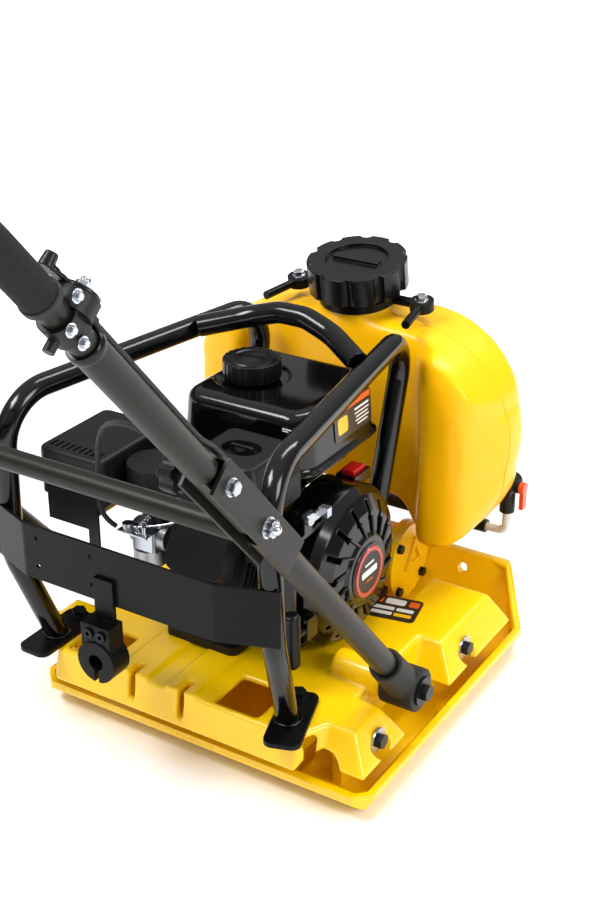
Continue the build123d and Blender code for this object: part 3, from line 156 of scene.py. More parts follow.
def surfaceOf(name, look):
    material = bpy.data.materials.new(name)
    material.use_nodes = True
    tree = material.node_tree
    shader = tree.nodes["Principled BSDF"]
    place = addNode(tree, "ShaderNodeTexCoord").outputs["Object"]
    drift = addNode(tree, "ShaderNodeTexNoise",
                    {"Scale": allOver["driftScale"], "Detail": allOver["driftDetail"],
                     "Roughness": allOver["driftRoughness"]}, {"Vector": place})
    tone = addNode(tree, "ShaderNodeMix", {"data_type": "RGBA"}, {"Factor": drift.outputs["Fac"]})
    colours = [socket for socket in tone.inputs if socket.type == "RGBA"]
    colours[0].default_value = toLinear(look["colour"])
    colours[1].default_value = toLinear(look["shade"])
    result = [socket for socket in tone.outputs if socket.type == "RGBA"][0]
    tree.links.new(result, shader.inputs["Base Color"])
    sheen = addNode(tree, "ShaderNodeMapRange",
                    {"To Min": look["roughness"] * allOver["sheenLow"],
                     "To Max": look["roughness"] * allOver["sheenHigh"]},
                    {"Value": drift.outputs["Fac"]})
    tree.links.new(sheen.outputs["Result"], shader.inputs["Roughness"])
    if look.get("cells"):
        grain = addNode(tree, "ShaderNodeTexVoronoi", {"Scale": 1 / (look["grain"] * mm)}, {"Vector": place})
        height = grain.outputs["Distance"]
    else:
        grain = addNode(tree, "ShaderNodeTexNoise", {"Scale": 1 / (look["grain"] * mm), "Detail": 2.0},
                        {"Vector": place})
        height = grain.outputs["Fac"]
    rounded = addNode(tree, "ShaderNodeBevel", {"samples": 4, "Radius": look["soften"] * mm})
    bump = addNode(tree, "ShaderNodeBump", {"Distance": look["depth"] * mm, "Strength": 1.0},
                   {"Height": height, "Normal": rounded.outputs["Normal"]})
    tree.links.new(bump.outputs["Normal"], shader.inputs["Normal"])
    shader.inputs["Metallic"].default_value = look.get("metal", 0.0)
    shader.inputs["Coat Weight"].default_value = look.get("coat", 0.0)
    shader.inputs["Coat Roughness"].default_value = allOver["coatRoughness"]
    shader.inputs["Specular IOR Level"].default_value = look.get("specular", allOver["plainSpecular"])
    if look.get("subsurface"):
        shader.inputs["Subsurface Weight"].default_value = look["subsurface"]
        shader.inputs["Subsurface Radius"].default_value = allOver["glowTint"]
        shader.inputs["Subsurface Scale"].default_value = allOver["glowDepth"] * mm
    return material


materials = {name: surfaceOf(name, look) for name, look in finishes.items()}

finishOfSlot = {
    "yellow_paint": "yellowPowderCoat", "yellow_plastic": "yellowPolyethylene",
    "black_paint": "blackPowderCoat", "graphite_paint": "graphitePowderCoat",
    "black_plastic": "texturedNylon", "black_oxide": "blackOxide", "aluminium": "castAluminium",
    "zinc": "brightZinc", "steel": "machinedSteel", "cast_iron": "greyIron", "rubber": "mouldedRubber",
    "clear_hose": "clearVinyl", "red_plastic": "redAbs", "orange_plastic": "orangeAbs",
}
finishOfNode = {
    "fuel_tank": "blackEnamel", "recoil_cover": "blackEnamel", "blower_housing": "blackEnamel",
    "engine_block": "castingBlack", "cylinder_head": "castingBlack", "fuel_cap": "glossNylon",
    "water_cap": "glossNylon", "cage_left_loop": "blackEnamel", "cage_right_loop": "blackEnamel",
    "cage_cross_tube": "blackEnamel", "throttle_lever": "glossNylon", "recoil_grip": "glossNylon",
}
for node, obj in cadNodes.items():
    obj.data.materials.clear()
    obj.data.materials.append(materials[finishOfNode.get(node, finishOfSlot[slotOf[node]])])
print("materials done:", len(materials))


def placePiece(name, data, body, finish, standsFor=()):
    if finish:
        data.materials.append(materials[finish])
    obj = bpy.data.objects.new(name, data)
    bpy.context.scene.collection.objects.link(obj)
    if body:
        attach(obj, body)
    if standsFor:
        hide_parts(*standsFor)
    return obj


def meshFrom(bm, name, sharp=35):
    data = bpy.data.meshes.new(name)
    bmesh.ops.recalc_face_normals(bm, faces=bm.faces[:])
    bm.to_mesh(data)
    bm.free()
    data.shade_smooth()
    data.set_sharp_from_angle(angle=radians(sharp))
    return data


def metres(point):
    return Vector(point) * mm


# round wire, bead or hose along points
def tubeAlong(name, points, radius, body, finish, kind="POLY", closed=False, order=4, standsFor=()):
    data = bpy.data.curves.new(name, "CURVE")
    data.dimensions = "3D"
    data.bevel_depth = radius * mm
    data.bevel_resolution = 5
    data.resolution_u = 10
    data.use_fill_caps = True
    spline = data.splines.new(kind)
    spline.points.add(len(points) - 1)
    for index, point in enumerate(points):
        spline.points[index].co = (*metres(point), 1)
    spline.use_cyclic_u = closed
    if kind == "NURBS":
        spline.order_u = order
        spline.use_endpoint_u = not closed
    return placePiece(name, data, body, finish, standsFor)


# turned piece: (radius, height) pairs, spun round an axis that starts at base
def turned(name, profile, base, axis, body, finish, steps=64):
    bm = bmesh.new()
    rings = []
    for step in range(steps):
        turn = 2 * pi * step / steps
        rings.append([bm.verts.new((r * cos(turn) * mm, r * sin(turn) * mm, h * mm)) for r, h in profile])
    for step in range(steps):
        here, after = rings[step], rings[(step + 1) % steps]
        for low in range(len(profile) - 1):
            bm.faces.new((here[low], after[low], after[low + 1], here[low + 1]))
    bmesh.ops.remove_doubles(bm, verts=bm.verts[:], dist=1e-6)
    ends = [edge for edge in bm.edges if edge.is_boundary]
    if ends:
        bmesh.ops.holes_fill(bm, edges=ends, sides=0)
    spin = Vector((0, 0, 1)).rotation_difference(Vector(axis)).to_matrix().to_4x4()
    bm.transform(Matrix.Translation(metres(base)) @ spin)
    return placePiece(name, meshFrom(bm, name), body, finish)


def roundedRectangle(width, height, corner, steps=6):
    points = []
    for cx, cy, start in ((1, 1, 0), (-1, 1, 90), (-1, -1, 180), (1, -1, 270)):
        for step in range(steps + 1):
            turn = radians(start + 90 * step / steps)
            points.append((cx * (width / 2 - corner) + corner * cos(turn),
                           cy * (height / 2 - corner) + corner * sin(turn)))
    return points


vinyl = {"sunk": -0.1, "proud": 0.25, "print": 0.05, "backCorner": 0.12, "printCorner": 0.2}


# vinyl sticker: a backing with printed blocks as (x, y, width, height, finish), each a little proud
def sticker(name, centre, right, up, size, layers, body):
    right, up = Vector(right).normalized(), Vector(up).normalized()
    out = right.cross(up)
    bm = bmesh.new()
    used = []
    for index, (x, y, width, height, finish) in enumerate([(0, 0, *size)] + layers):
        if finish not in used:
            used.append(finish)
        corner = min(width, height) * vinyl["printCorner" if index else "backCorner"]
        rim = []
        for level in (vinyl["sunk"], vinyl["proud"] + vinyl["print"] * min(index, 2)):
            rim.append([bm.verts.new(metres(Vector(centre) + right * (x + px) + up * (y + py) + out * level))
                        for px, py in roundedRectangle(width, height, corner)])
        faces = [bm.faces.new(rim[1]), bm.faces.new(list(reversed(rim[0])))]
        for step in range(len(rim[0])):
            after = (step + 1) % len(rim[0])
            faces.append(bm.faces.new((rim[0][step], rim[0][after], rim[1][after], rim[1][step])))
        for face in faces:
            face.material_index = used.index(finish)
    data = meshFrom(bm, name)
    for finish in used:
        data.materials.append(materials[finish])
    return placePiece(name, data, body, None)


# gives a casting or moulding the rounded edges of its mould
def softened(obj, voxel, rounds):
    skin = obj.modifiers.new("skin", "REMESH")
    skin.mode = "VOXEL"
    skin.voxel_size = voxel * mm
    skin.use_smooth_shade = True
    ease = obj.modifiers.new("ease", "SMOOTH")
    ease.factor = 0.5
    ease.iterations = rounds


boltHead = {"chamfer": (0.9, 0.8), "washerFoot": 2.0, "washerTop": 1.7}


# bolt head or nut with its chamfer, washer and dome
def hexHead(name, base, axis, flats, height, body, finish, washer=0, dome=0):
    radius = flats / 2 / cos(pi / 6)
    bm = bmesh.new()
    inward, down = boltHead["chamfer"]
    rows = [(radius, 0), (radius, height - down), (radius - inward, height)]
    rings = [[bm.verts.new((r * cos(pi / 3 * k) * mm, r * sin(pi / 3 * k) * mm, (h + washer) * mm))
              for k in range(6)] for r, h in rows]
    for here, above in zip(rings, rings[1:]):
        for k in range(6):
            bm.faces.new((here[k], here[(k + 1) % 6], above[(k + 1) % 6], above[k]))
    bm.faces.new(list(reversed(rings[0])))
    bm.faces.new(rings[-1])
    if washer:
        disc = bmesh.ops.create_cone(bm, cap_ends=True, segments=40, depth=washer * mm,
                                     radius1=(radius + boltHead["washerFoot"]) * mm,
                                     radius2=(radius + boltHead["washerTop"]) * mm)
        bmesh.ops.translate(bm, verts=disc["verts"], vec=(0, 0, washer / 2 * mm))
    if dome:
        ball = bmesh.ops.create_uvsphere(bm, u_segments=28, v_segments=14, radius=dome * mm)
        bmesh.ops.translate(bm, verts=ball["verts"], vec=(0, 0, (height + washer) * mm))
    spin = Vector((0, 0, 1)).rotation_difference(Vector(axis)).to_matrix().to_4x4()
    bm.transform(Matrix.Translation(metres(base)) @ spin)
    return placePiece(name, meshFrom(bm, name, 30), body, finish)


# castings with soft edges: node, voxel, rounds of easing
softCastings = {"deck": (2.6, 7), "handle_buffers": (2.0, 6), "exciter_housing": (2.5, 5),
                "fuel_tank": (2.5, 5)}
for node, (voxel, rounds) in softCastings.items():
    softened(cadNodes[node], voxel, rounds)
print("castings softened")

# water tank: the outer skin of the moulding, with its parting bead
tank = {"voxel": 5.0, "rounds": 60, "partingX": 214, "bodyTop": 450, "fade": 60, "bead": 1.0,
        "neckTilt": radians(10), "neckBase": (228, tankMiddle, 436), "neckTop": 62, "neckRadius": 50,
        "threadHeights": (46.5, 50), "threadProud": 1.6, "threadHalf": 1.4, "bracketEar": (98, 46)}
neckAxis = Vector((-sin(tank["neckTilt"]), 0, cos(tank["neckTilt"])))


def onNeck(height):
    return Vector(tank["neckBase"]) + neckAxis * height


# keeps the outer of the two skins of a hollow moulding, closed over its mouth
def outerSkin(node, rimPoint, rimNormal):
    bm = bmesh.new()
    bm.from_mesh(cadNodes[node].data)
    bmesh.ops.remove_doubles(bm, verts=bm.verts[:], dist=1e-5)
    rim = [face for face in bm.faces
           if all(abs((vert.co - rimPoint).dot(rimNormal)) < 1e-4 for vert in face.verts)]
    bmesh.ops.delete(bm, geom=rim, context="FACES")
    seen, islands = set(), []
    for first in bm.verts:
        if first in seen:
            continue
        island, queue = [], [first]
        seen.add(first)
        while queue:
            vert = queue.pop()
            island.append(vert)
            for edge in vert.link_edges:
                other = edge.other_vert(vert)
                if other not in seen:
                    seen.add(other)
                    queue.append(other)
        islands.append(island)
    outer = max(islands, key=lambda verts: max(v.co.y for v in verts) - min(v.co.y for v in verts))
    keep = set(outer)
    bmesh.ops.delete(bm, geom=[v for v in bm.verts if v not in keep], context="VERTS")
    bmesh.ops.holes_fill(bm, edges=[edge for edge in bm.edges if edge.is_boundary], sides=0)
    bmesh.ops.triangulate(bm, faces=bm.faces[:])
    return bm


def finalMesh(obj):
    bpy.context.view_layer.update()
    return bpy.data.meshes.new_from_object(obj.evaluated_get(bpy.context.evaluated_depsgraph_get()))


tankSkin = outerSkin("water_tank", metres(onNeck(tank["neckTop"])), neckAxis)
tankPiece = placePiece("waterTankShell", meshFrom(tankSkin, "waterTankShell"), None,
                       "yellowPolyethylene")
softened(tankPiece, tank["voxel"], tank["rounds"])
moulded = finalMesh(tankPiece)
# easing draws the skin in, so the body below the neck is grown back out to the size of its mould
low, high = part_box("water_tank")
bodyTop = tank["bodyTop"] * mm
body = [vert.co for vert in moulded.vertices if vert.co.z < bodyTop]
for axis in (0, 1):
    mean = (low[axis] + high[axis]) / 2
    drawn = max(abs(co[axis] - mean) for co in body)
    for vert in moulded.vertices:
        share = min(1.0, max(0.0, (bodyTop - vert.co.z) / (tank["fade"] * mm)))
        vert.co[axis] = mean + (vert.co[axis] - mean) * (1 + share * ((high[axis] - mean) / drawn - 1))
tankPiece.modifiers.clear()
tankPiece.data = moulded
moulded.shade_smooth()
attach(tankPiece, "machine")
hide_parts("water_tank")


# closed rows of points where a plane of constant x cuts a mesh
def cutLoops(mesh, x):
    bm = bmesh.new()
    bm.from_mesh(mesh)
    cut = bmesh.ops.bisect_plane(bm, geom=bm.verts[:] + bm.edges[:] + bm.faces[:],
                                 plane_co=(x * mm, 0, 0), plane_no=(1, 0, 0))["geom_cut"]
    edges = {item for item in cut if isinstance(item, bmesh.types.BMEdge)}
    loops = []
    while edges:
        edge = edges.pop()
        row = [edge.verts[0], edge.verts[1]]
        while True:
            ahead = [e for e in row[-1].link_edges if e in edges]
            if not ahead:
                break
            edges.discard(ahead[0])
            row.append(ahead[0].other_vert(row[-1]))
        loops.append([tuple(vert.co / mm) for vert in row[:-1]])
    bm.free()
    return loops


# the blown shoulders and sides stand a little proud of straight lines: start, end, how far
reach = 40      # how near to the line the skin is pushed out
steepness = 1.5
blown = [((238, 352), (112, 452), 20), ((204, 168), (241, 256), 5), ((241, 256), (239, 352), 5)]
normals = [vert.normal.copy() for vert in moulded.vertices]
for vert, normal in zip(moulded.vertices, normals):
    side = 1 if vert.co.y > tankMiddle * mm else -1
    across, up = side * (vert.co.y / mm - tankMiddle), vert.co.z / mm
    for start, end, proud in blown:
        run = Vector((end[0] - start[0], end[1] - start[1]))
        share = (Vector((across, up)) - Vector(start)).dot(run) / run.length_squared
        away = Vector((run.y, -run.x)).normalized()
        off = (Vector((across, up)) - Vector(start)).dot(away)
        facing = normal.y * side * away.x + normal.z * away.y
        if 0 < share < 1 and abs(off) < reach and facing > 0:
            push = proud * sin(pi * share) * min(1, facing * steepness)
            vert.co.y += side * away.x * push * mm
            vert.co.z += away.y * push * mm

fewestPoints = 40       # shorter rows are scraps
partingRows = [row for row in cutLoops(moulded, tank["partingX"]) if len(row) > fewestPoints]
for index, loop in enumerate(partingRows):
    tubeAlong(f"tankPartingBead{index}", loop[::2], tank["bead"], "machine",
              "yellowPolyethylene", kind="NURBS", closed=True)
inner, crest, half = tank["neckRadius"], tank["neckRadius"] + tank["threadProud"], tank["threadHalf"]
thread = [(inner, -half), (crest, -0.6), (crest, 0.6), (inner, half)]
for height in tank["threadHeights"]:
    turned(f"neckThread{int(height)}", thread, onNeck(height), neckAxis, "machine",
           "yellowPolyethylene")
print("water tank done")

# base plate rim: the plate's edge is rolled over a round bead
plate = {"rear": -265, "side": 250, "corner": 22, "shoulder": 179, "front": 262, "lipY": 191, "rimZ": 42,
         "lipZ": 95, "bead": 4.5}
inset = plate["bead"]


# the rim's points from the middle of the rear edge to the middle of the front lip, on one side
def rimLine(s):
    return [(plate["rear"] + inset, 0, plate["rimZ"] - inset),
            (plate["rear"] + inset, s * (plate["side"] - plate["corner"]), plate["rimZ"] - inset),
            (plate["rear"] + plate["corner"], s * (plate["side"] - inset), plate["rimZ"] - inset),
            (plate["shoulder"] - 4, s * (plate["side"] - inset), plate["rimZ"] - inset),
            (plate["front"] - 14, s * (plate["lipY"] + 4), plate["lipZ"] - inset),
            (plate["front"] - inset - 4, s * (plate["lipY"] - 22), plate["lipZ"] - inset),
            (plate["front"] - inset - 4, 0, plate["lipZ"] - inset)]


rim = rimLine(1) + list(reversed(rimLine(-1)))[1:-1]
dense = []
for here, after in zip(rim, rim[1:] + rim[:1]):
    for share in (0, 0.06, 0.5, 0.94):      # points near each corner keep its bend short
        dense.append(tuple(a + (b - a) * share for a, b in zip(here, after)))
tubeAlong("basePlateRim", dense, plate["bead"], "machine", "yellowPowderCoat", kind="NURBS",
          closed=True, order=3)

# welds where the cage tubes meet their feet
weld = {"feet": {"Rear": (-252, 179), "Front": (52, 108)}, "height": 113.3, "radius": 16.2, "bead": 2.0,
        "ripple": 0.5, "pitch": 2.6, "steps": 36}
for side, name in ((-1, "Right"), (1, "Left")):
    for end, (x, across) in weld["feet"].items():
        ring = []
        for step in range(weld["steps"]):
            turn = 2 * pi * step / weld["steps"]
            wobble = weld["radius"] + weld["ripple"] * sin(step * weld["pitch"])
            ring.append((x + wobble * cos(turn), tankMiddle + side * across + wobble * sin(turn),
                         weld["height"]))
        tubeAlong(f"footWeld{name}{end}", ring, weld["bead"], "machine", "blackEnamel",
                  kind="NURBS", closed=True)
print("rim and welds done")

# coil spring between two points
def spring(name, start, end, radius, wire, turns, body):
    start, end = Vector(start), Vector(end)
    axis = (end - start).normalized()
    side = axis.orthogonal().normalized()
    other = axis.cross(side)
    perTurn = 10
    steps = turns * perTurn
    points = [start + (end - start) * (k / steps) + side * radius * cos(2 * pi * k / perTurn)
              + other * radius * sin(2 * pi * k / perTurn) for k in range(steps + 1)]
    return tubeAlong(name, [tuple(p) for p in points], wire, body, "brightZinc", kind="NURBS",
                     order=3)


spring("governorSpring", (-250, 82, 304), (-214, 70, 330), 3.6, 0.7, 11, "machine")
spring("throttleReturnSpring", (-246, 108, 300), (-236, 76, 288), 3.0, 0.6, 9, "machine")
rodRun = [(-244, 100, 302), (-236, 70, 306), (-214, 30, 318), (-196, 6, 326)]
tubeAlong("governorRod", rodRun, 1.3, "machine", "brightZinc", kind="NURBS", order=3)
print("springs and rod done")

# starter cover: hub, badge and louvres
starter = {"faceY": -130, "hub": 40, "badge": 28, "badgeLift": 3.0, "ribs": 16, "firstRib": 22, "ribFrom": 47,
           "ribTo": 72, "ribSweep": 0.16, "ribFromY": -127.6, "ribToY": -125.6, "ribRadius": 2.2,
           "screenY": -112, "screenRadius": 74}
face = (crank[0], starter["faceY"], crank[1])
outward = (0, -1, 0)
turned("starterHub", [(0, 2.4), (34, 2.4), (38, 1.6), (starter["hub"], -1)], face, outward, "machine",
       "blackEnamel")
turned("starterBadgeRing", [(starter["badge"], 2.4), (28.5, 3.6), (34, 3.6), (34.6, 2.4)], face, outward,
       "machine", "redAbs")
badge = [(0, starter["badgeLift"]), (starter["badge"], starter["badgeLift"]), (starter["badge"], 2.3)]
turned("starterBadgeDisc", badge, face, outward, "machine", "glossNylon")
sticker("starterBadgePrint", (face[0], face[1] - starter["badgeLift"], face[2]), (1, 0, 0), (0, 0, 1),
        (2, 2, "stickerBlack"),
        [(0, 12, 22, 3, "stickerWhite"), (0, 0, 38, 9, "stickerWhite"), (0, -12, 16, 3, "redAbs")], "machine")


def onStarter(radius, turn, y):
    return (crank[0] + radius * cos(turn), y, crank[1] + radius * sin(turn))


for index in range(starter["ribs"]):
    turn = radians(starter["firstRib"] + index * 360 / starter["ribs"])
    rib = [onStarter(starter["ribFrom"], turn, starter["ribFromY"]),
           onStarter(starter["ribTo"], turn + starter["ribSweep"], starter["ribToY"])]
    tubeAlong(f"starterRib{index}", rib, starter["ribRadius"], "machine", "blackEnamel")
screenRadius = starter["screenRadius"]
turned("starterScreen", [(0, 0), (screenRadius, 0), (screenRadius, 1)],
       (crank[0], starter["screenY"], crank[1]), outward, "machine", "castingBlack")
print("starter done")

# fuel cap top and stickers, all with plain blocks for print
capTop = (-19, 65, 454.4)
capProfile = [(0, 1.6), (11, 1.6), (13, 0.8), (22, 0.8), (24, 2.2), (31, 2.2), (33, -0.4)]
turned("fuelCapTop", capProfile, capTop, (0, 0, 1), "fuel_cap", "glossNylon")
lean = radians(5)       # the fuel tank's sides lean in
sticker("fuelTankSticker", (14, -66.6, 392), (1, 0, 0), (0, sin(lean), cos(lean)), (92, 46, "stickerBlack"),
        [(0, 17, 88, 8, "stickerOrange"), (22, 6, 36, 3, "stickerWhite"), (22, 0, 36, 2, "stickerWhite"),
         (22, -5, 30, 2, "stickerWhite"), (22, -10, 34, 2, "stickerWhite"), (22, -15, 26, 2, "stickerWhite"),
         (-26, -4, 24, 22, "stickerYellow")], "machine")
sticker("fuelTankStripe", (-104.4, -6, 411), (0, -1, 0), (sin(lean), 0, cos(lean)), (96, 9, "stickerBlack"),
        [(-24, 0, 44, 6, "stickerYellow"), (26, 1.2, 40, 1.6, "stickerWhite"),
         (22, -1.6, 32, 1.4, "stickerWhite")], "machine")
sticker("deckSticker", (41, -112, 106), (0.19, -0.98, 0), (0.98, 0.19, 0), (86, 58, "stickerBlack"),
        [(-24, 16, 24, 14, "stickerOrange"), (6, 16, 28, 14, "stickerWhite"),
         (32, 16, 14, 14, "stickerOrange"), (-14, -2, 46, 8, "stickerWhite"),
         (24, -2, 24, 8, "stickerWhite"), (-14, -15, 46, 8, "stickerWhite"),
         (24, -15, 24, 8, "stickerYellow")], "machine")
print("stickers done")

# handle: foam sleeve and tube end rings
grip = {"from": 915, "end": 1065, "bend": 80, "bendSteps": 10, "radius": 16.3, "tubeEnd": 845}
route = [onArm(grip["from"], 0, handle["rightY"]), onArm(grip["end"] - grip["bend"], 0, handle["rightY"])]
for step in range(1, grip["bendSteps"]):
    turn = radians(90 * step / grip["bendSteps"])
    route.append(onArm(grip["end"] - grip["bend"] + grip["bend"] * sin(turn), 0,
                       handle["rightY"] + grip["bend"] * (1 - cos(turn))))
mirrored = [(x, handle["rightY"] + handle["leftY"] - y, z) for x, y, z in reversed(route)]
crossRun = [onArm(grip["end"], 0, handle["rightY"] + grip["bend"]),
            onArm(grip["end"], 0, handle["leftY"] - grip["bend"])]
sleeve = tubeAlong("foamSleeve", route + crossRun + mirrored, grip["radius"], "upper_handle",
                   "nitrileFoam", standsFor=("foam_grip",))
armAxis = Vector((-cos(handle["angle"]), 0, sin(handle["angle"])))
endRing = [(13, -5), (15.8, -5), (16.4, -3), (16.4, 3), (15, 5), (13, 5)]
collar = [(12.8, -4), (16.6, -4), (17.4, -2), (17.4, 3), (16.6, 4), (12.8, 4)]
for y, name in ((handle["rightY"], "Right"), (handle["leftY"], "Left")):
    turned(f"tubeEndRing{name}", endRing, onArm(grip["tubeEnd"], 0, y), armAxis, "upper_handle",
           "glossNylon")
    turned(f"gripCollar{name}", collar, onArm(grip["from"], 0, y), armAxis, "upper_handle",
           "mouldedRubber")


# throttle: a thumb lever on stacked plates, under a bright domed nut
thumb = {"along": 880, "seat": 24.4, "plate": 17, "thick": 4, "reach": 33, "swing": 12, "taper": 0.86,
         "voxel": 0.8, "rounds": 5}
armUp = Vector((sin(handle["angle"]), 0, cos(handle["angle"])))
bm = bmesh.new()
bmesh.ops.create_cone(bm, cap_ends=True, segments=48, radius1=thumb["plate"] * mm,
                      radius2=thumb["plate"] * mm, depth=thumb["thick"] * mm)
# the lever swells from its plate out to the thumb's nub
for along, radius, height, lift in ((12, 8, 4, 0), (20, 7, 4, 0.4), (27, 6.5, 5, 1.2), (33, 6.5, 13, 5)):
    knob = bmesh.ops.create_cone(bm, cap_ends=True, segments=28, radius1=radius * mm,
                                 radius2=radius * thumb["taper"] * mm, depth=height * mm)
    bmesh.ops.translate(bm, verts=knob["verts"],
                        vec=(along * mm, -thumb["swing"] * along / thumb["reach"] * mm, lift * mm))
turn = Matrix((armAxis, armUp.cross(armAxis), armUp)).transposed().to_4x4()
bm.transform(Matrix.Translation(metres(onArm(thumb["along"], thumb["seat"] + 2, handle["rightY"]))) @ turn)
lever = placePiece("thumbLever", meshFrom(bm, "thumbLever"), "throttle_lever", "glossNylon",
                   ("throttle_lever",))
softened(lever, thumb["voxel"], thumb["rounds"])
hexHead("leverNut", onArm(thumb["along"], thumb["seat"] + 4, handle["rightY"]), armUp, 12, 6, "throttle_lever",
        "brightZinc", washer=1.5, dome=5)
clampScrews = ((862, 16, 14), (897, 16, -14), (870, -8, -17), (889, -8, -17))       # along, lift, across
for index, (along, lift, across) in enumerate(clampScrews):
    side = 1 if across > 0 else -1
    hexHead(f"clampScrew{index}", onArm(along, lift, handle["rightY"] + across), (0, side, 0), 7, 3.4,
            "upper_handle", "brightZinc", washer=0.8)
fold = {"hinge": (508, 19.2), "knob": (600, 19)}        # along the arm, and out from its middle
for y, name, out in ((handle["rightY"], "Right", -1), (handle["leftY"], "Left", 1)):
    along, proud = fold["hinge"]
    hexHead(f"hingeDome{name}", onArm(along, 0, y + out * proud), (0, out, 0), 16, 7.4, "lower_handle",
            "brightZinc", washer=0.4, dome=6)
    along, proud = fold["knob"]
    hexHead(f"knobBolt{name}", onArm(along, 0, y + out * proud), (0, out, 0), 13, 6, "lower_handle",
            "brightZinc", washer=1.5)
# bolts on the ears of the tank's neck bracket
across, height = tank["bracketEar"]
for side, name in ((-1, "Right"), (1, "Left")):
    hexHead(f"bracketBolt{name}", onNeck(height) + Vector((0, side * across, 0)), neckAxis, 13, 7, "machine",
            "brightZinc", washer=1.5)
print("handle done")

# throttle cable: black sheathed cable on the arm, over the fold and down to the carburettor
cable = {"radius": 3.2, "lift": 18.5, "slackStart": (-366, -173, 456), "slackEnd": (-288, 106, 362)}
y, lift = handle["rightY"], cable["lift"]
armRun = [onArm(849.8, lift, y), onArm(780, lift, y), onArm(720, lift, y), onArm(663.8, lift, y),
          onArm(648, lift, y), onArm(624, 24.5, y + 1), onArm(556, 25, y + 3), onArm(500, 25, y + 5),
          onArm(462, 26.5, y + 7)]
slackRun = [onArm(462, 26.5, y + 7), onArm(440, 28, y + 9), (-372, -196, 453), cable["slackStart"],
            (-380, -138, 488), (-394, -102, 516), (-398, -58, 530), (-382, -12, 524), (-356, 32, 500),
            (-326, 68, 462), (-302, 92, 414), cable["slackEnd"], (-276, 110, 326), (-262, 104, 311)]
upperCable = tubeAlong("throttleCableUpper", armRun, cable["radius"], None, "mouldedRubber",
                       kind="NURBS", order=3)
lowerCable = tubeAlong("throttleCableLower", slackRun, cable["radius"], None, "mouldedRubber",
                       kind="NURBS", order=3)


def asMesh(curveObject):
    data = finalMesh(curveObject)
    name = curveObject.name
    bpy.data.objects.remove(curveObject)
    data.shade_smooth()
    obj = bpy.data.objects.new(name, data)
    bpy.context.scene.collection.objects.link(obj)
    return obj


# points read from the cable's own NURBS line
def centreline(points, order=3):
    data = bpy.data.curves.new("line", "CURVE")
    data.dimensions = "3D"
    data.resolution_u = 12
    spline = data.splines.new("NURBS")
    spline.points.add(len(points) - 1)
    for index, point in enumerate(points):
        spline.points[index].co = (*metres(point), 1)
    spline.order_u = order
    spline.use_endpoint_u = True
    obj = bpy.data.objects.new("line", data)
    bpy.context.scene.collection.objects.link(obj)
    line = [vert.co.copy() for vert in finalMesh(obj).vertices]
    bpy.data.objects.remove(obj)
    return line


for obj, run, ends, bodies in ((upperCable, armRun, (560, 470), ("upper_handle", "lower_handle")),
                               (lowerCable, slackRun, None, ("lower_handle", "machine"))):
    line = centreline(run)
    piece = asMesh(obj)
    if ends:
        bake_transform(piece)
        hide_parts("throttle_cable_upper")
    else:
        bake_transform(piece)
        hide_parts("throttle_cable_loop")

# studio: a sheet of white paper, a light tent and three softboxes
half = 8        # metres from the middle of the paper to its edge
floorData = bpy.data.meshes.new("studioFloor")
corners = [(-half, -half, 0), (half, -half, 0), (half, half, 0), (-half, half, 0)]
floorData.from_pydata(corners, [], [(0, 1, 2, 3)])
paper = bpy.data.materials.new("whitePaper")
paper.use_nodes = True
paper.node_tree.nodes["Principled BSDF"].inputs["Base Color"].default_value = toLinear("#F6F6F6")
paper.node_tree.nodes["Principled BSDF"].inputs["Roughness"].default_value = 0.9
# painted glow: the sweep of paper gives off light of its own, more the farther it lies from the object, so that
# it meets the white behind it
paperTree = paper.node_tree
far = addNode(paperTree, "ShaderNodeVectorMath", {"operation": "LENGTH"},
              {0: addNode(paperTree, "ShaderNodeTexCoord").outputs["Object"]})
lift = addNode(paperTree, "ShaderNodeMapRange",
               {"From Min": 0.7, "From Max": 2.2, "To Min": 0.0, "To Max": 1.0}, {"Value": far.outputs["Value"]})
# the painted glow drives the paper's emission strength
paperTree.links.new(lift.outputs["Result"], paperTree.nodes["Principled BSDF"].inputs["Emission Strength"])
paperTree.nodes["Principled BSDF"].inputs["Emission Color"].default_value = (1, 1, 1, 1)
floorData.materials.append(paper)
floor = bpy.data.objects.new("studioFloor", floorData)
bpy.context.scene.collection.objects.link(floor)

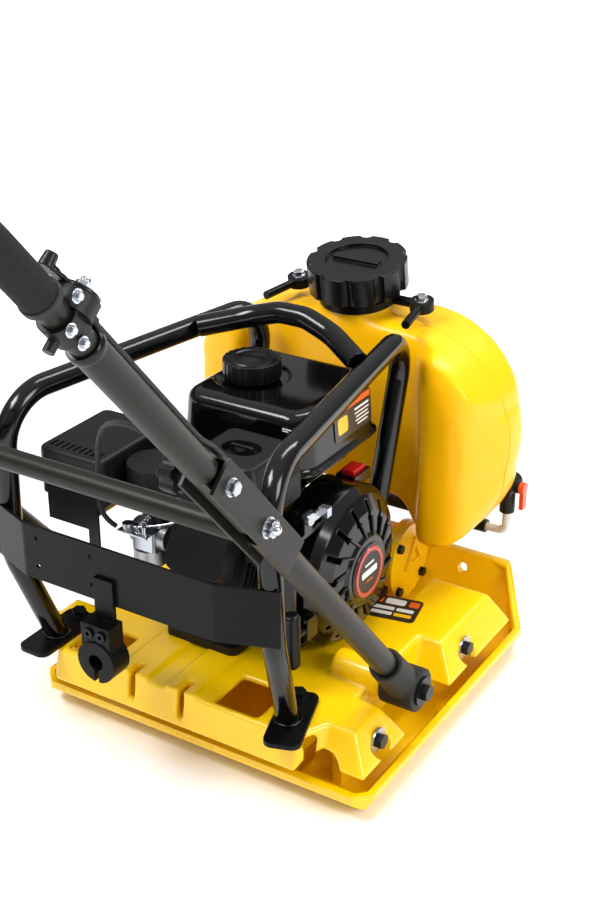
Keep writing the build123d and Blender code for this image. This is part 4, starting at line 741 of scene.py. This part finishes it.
# the room is dark at the horizon and bright overhead, as under a light tent; what shows behind is white
world = bpy.data.worlds.new("studio")
world.use_nodes = True
tree = world.node_tree
room = tree.nodes["Background"]
around = addNode(tree, "ShaderNodeTexCoord").outputs["Generated"]
height = addNode(tree, "ShaderNodeSeparateXYZ", {}, {"Vector": around})
glow = addNode(tree, "ShaderNodeMapRange",
               {"From Min": -0.1, "From Max": 1.0, "To Min": 0.12, "To Max": 0.85},
               {"Value": height.outputs["Z"]})
tree.links.new(glow.outputs["Result"], room.inputs["Strength"])
room.inputs["Color"].default_value = (1, 1, 1, 1)
white = addNode(tree, "ShaderNodeBackground", {"Strength": 1.0})
white.inputs["Color"].default_value = (1, 1, 1, 1)
seen = addNode(tree, "ShaderNodeLightPath").outputs["Is Camera Ray"]
both = addNode(tree, "ShaderNodeMixShader", {}, {"Fac": seen})
tree.links.new(room.outputs[0], both.inputs[1])
tree.links.new(white.outputs[0], both.inputs[2])
tree.links.new(both.outputs[0], tree.nodes["World Output"].inputs["Surface"])
bpy.context.scene.world = world

softboxes = {
    "keyBox": {"at": (-1.5, 0.9, 2.6), "size": (1.4, 0.7), "power": 70},
    "rightBox": {"at": (-0.4, -2.6, 1.6), "size": (0.9, 1.2), "power": 42},
    "topStrip": {"at": (1.0, -0.4, 2.3), "size": (0.4, 2.0), "power": 34},
}
aim = Vector((-0.05, 0.0, 0.3))
for name, box in softboxes.items():
    light = bpy.data.lights.new(name, "AREA")
    light.shape = "RECTANGLE"
    light.size, light.size_y = box["size"]
    light.energy = box["power"]
    lamp = bpy.data.objects.new(name, light)
    lamp.location = box["at"]
    lamp.rotation_euler = (aim - Vector(box["at"])).to_track_quat("-Z", "Y").to_euler()
    bpy.context.scene.collection.objects.link(lamp)

print("studio done")

view = {"at": (-1.4615, -0.9023, 1.1603), "down": 25.76, "heading": 31.81, "lens": 58.36, "sensor": 36,
        "clip": 50}
lens = bpy.data.cameras.new("camera")
lens.sensor_width = view["sensor"]
lens.lens = view["lens"]
lens.clip_end = view["clip"]
camera = bpy.data.objects.new("camera", lens)
camera.location = view["at"]
camera.rotation_euler = (radians(90 - view["down"]), 0, radians(view["heading"] - 90))
bpy.context.scene.collection.objects.link(camera)
bpy.context.scene.camera = camera
bpy.context.scene.view_settings.view_transform = "Standard"
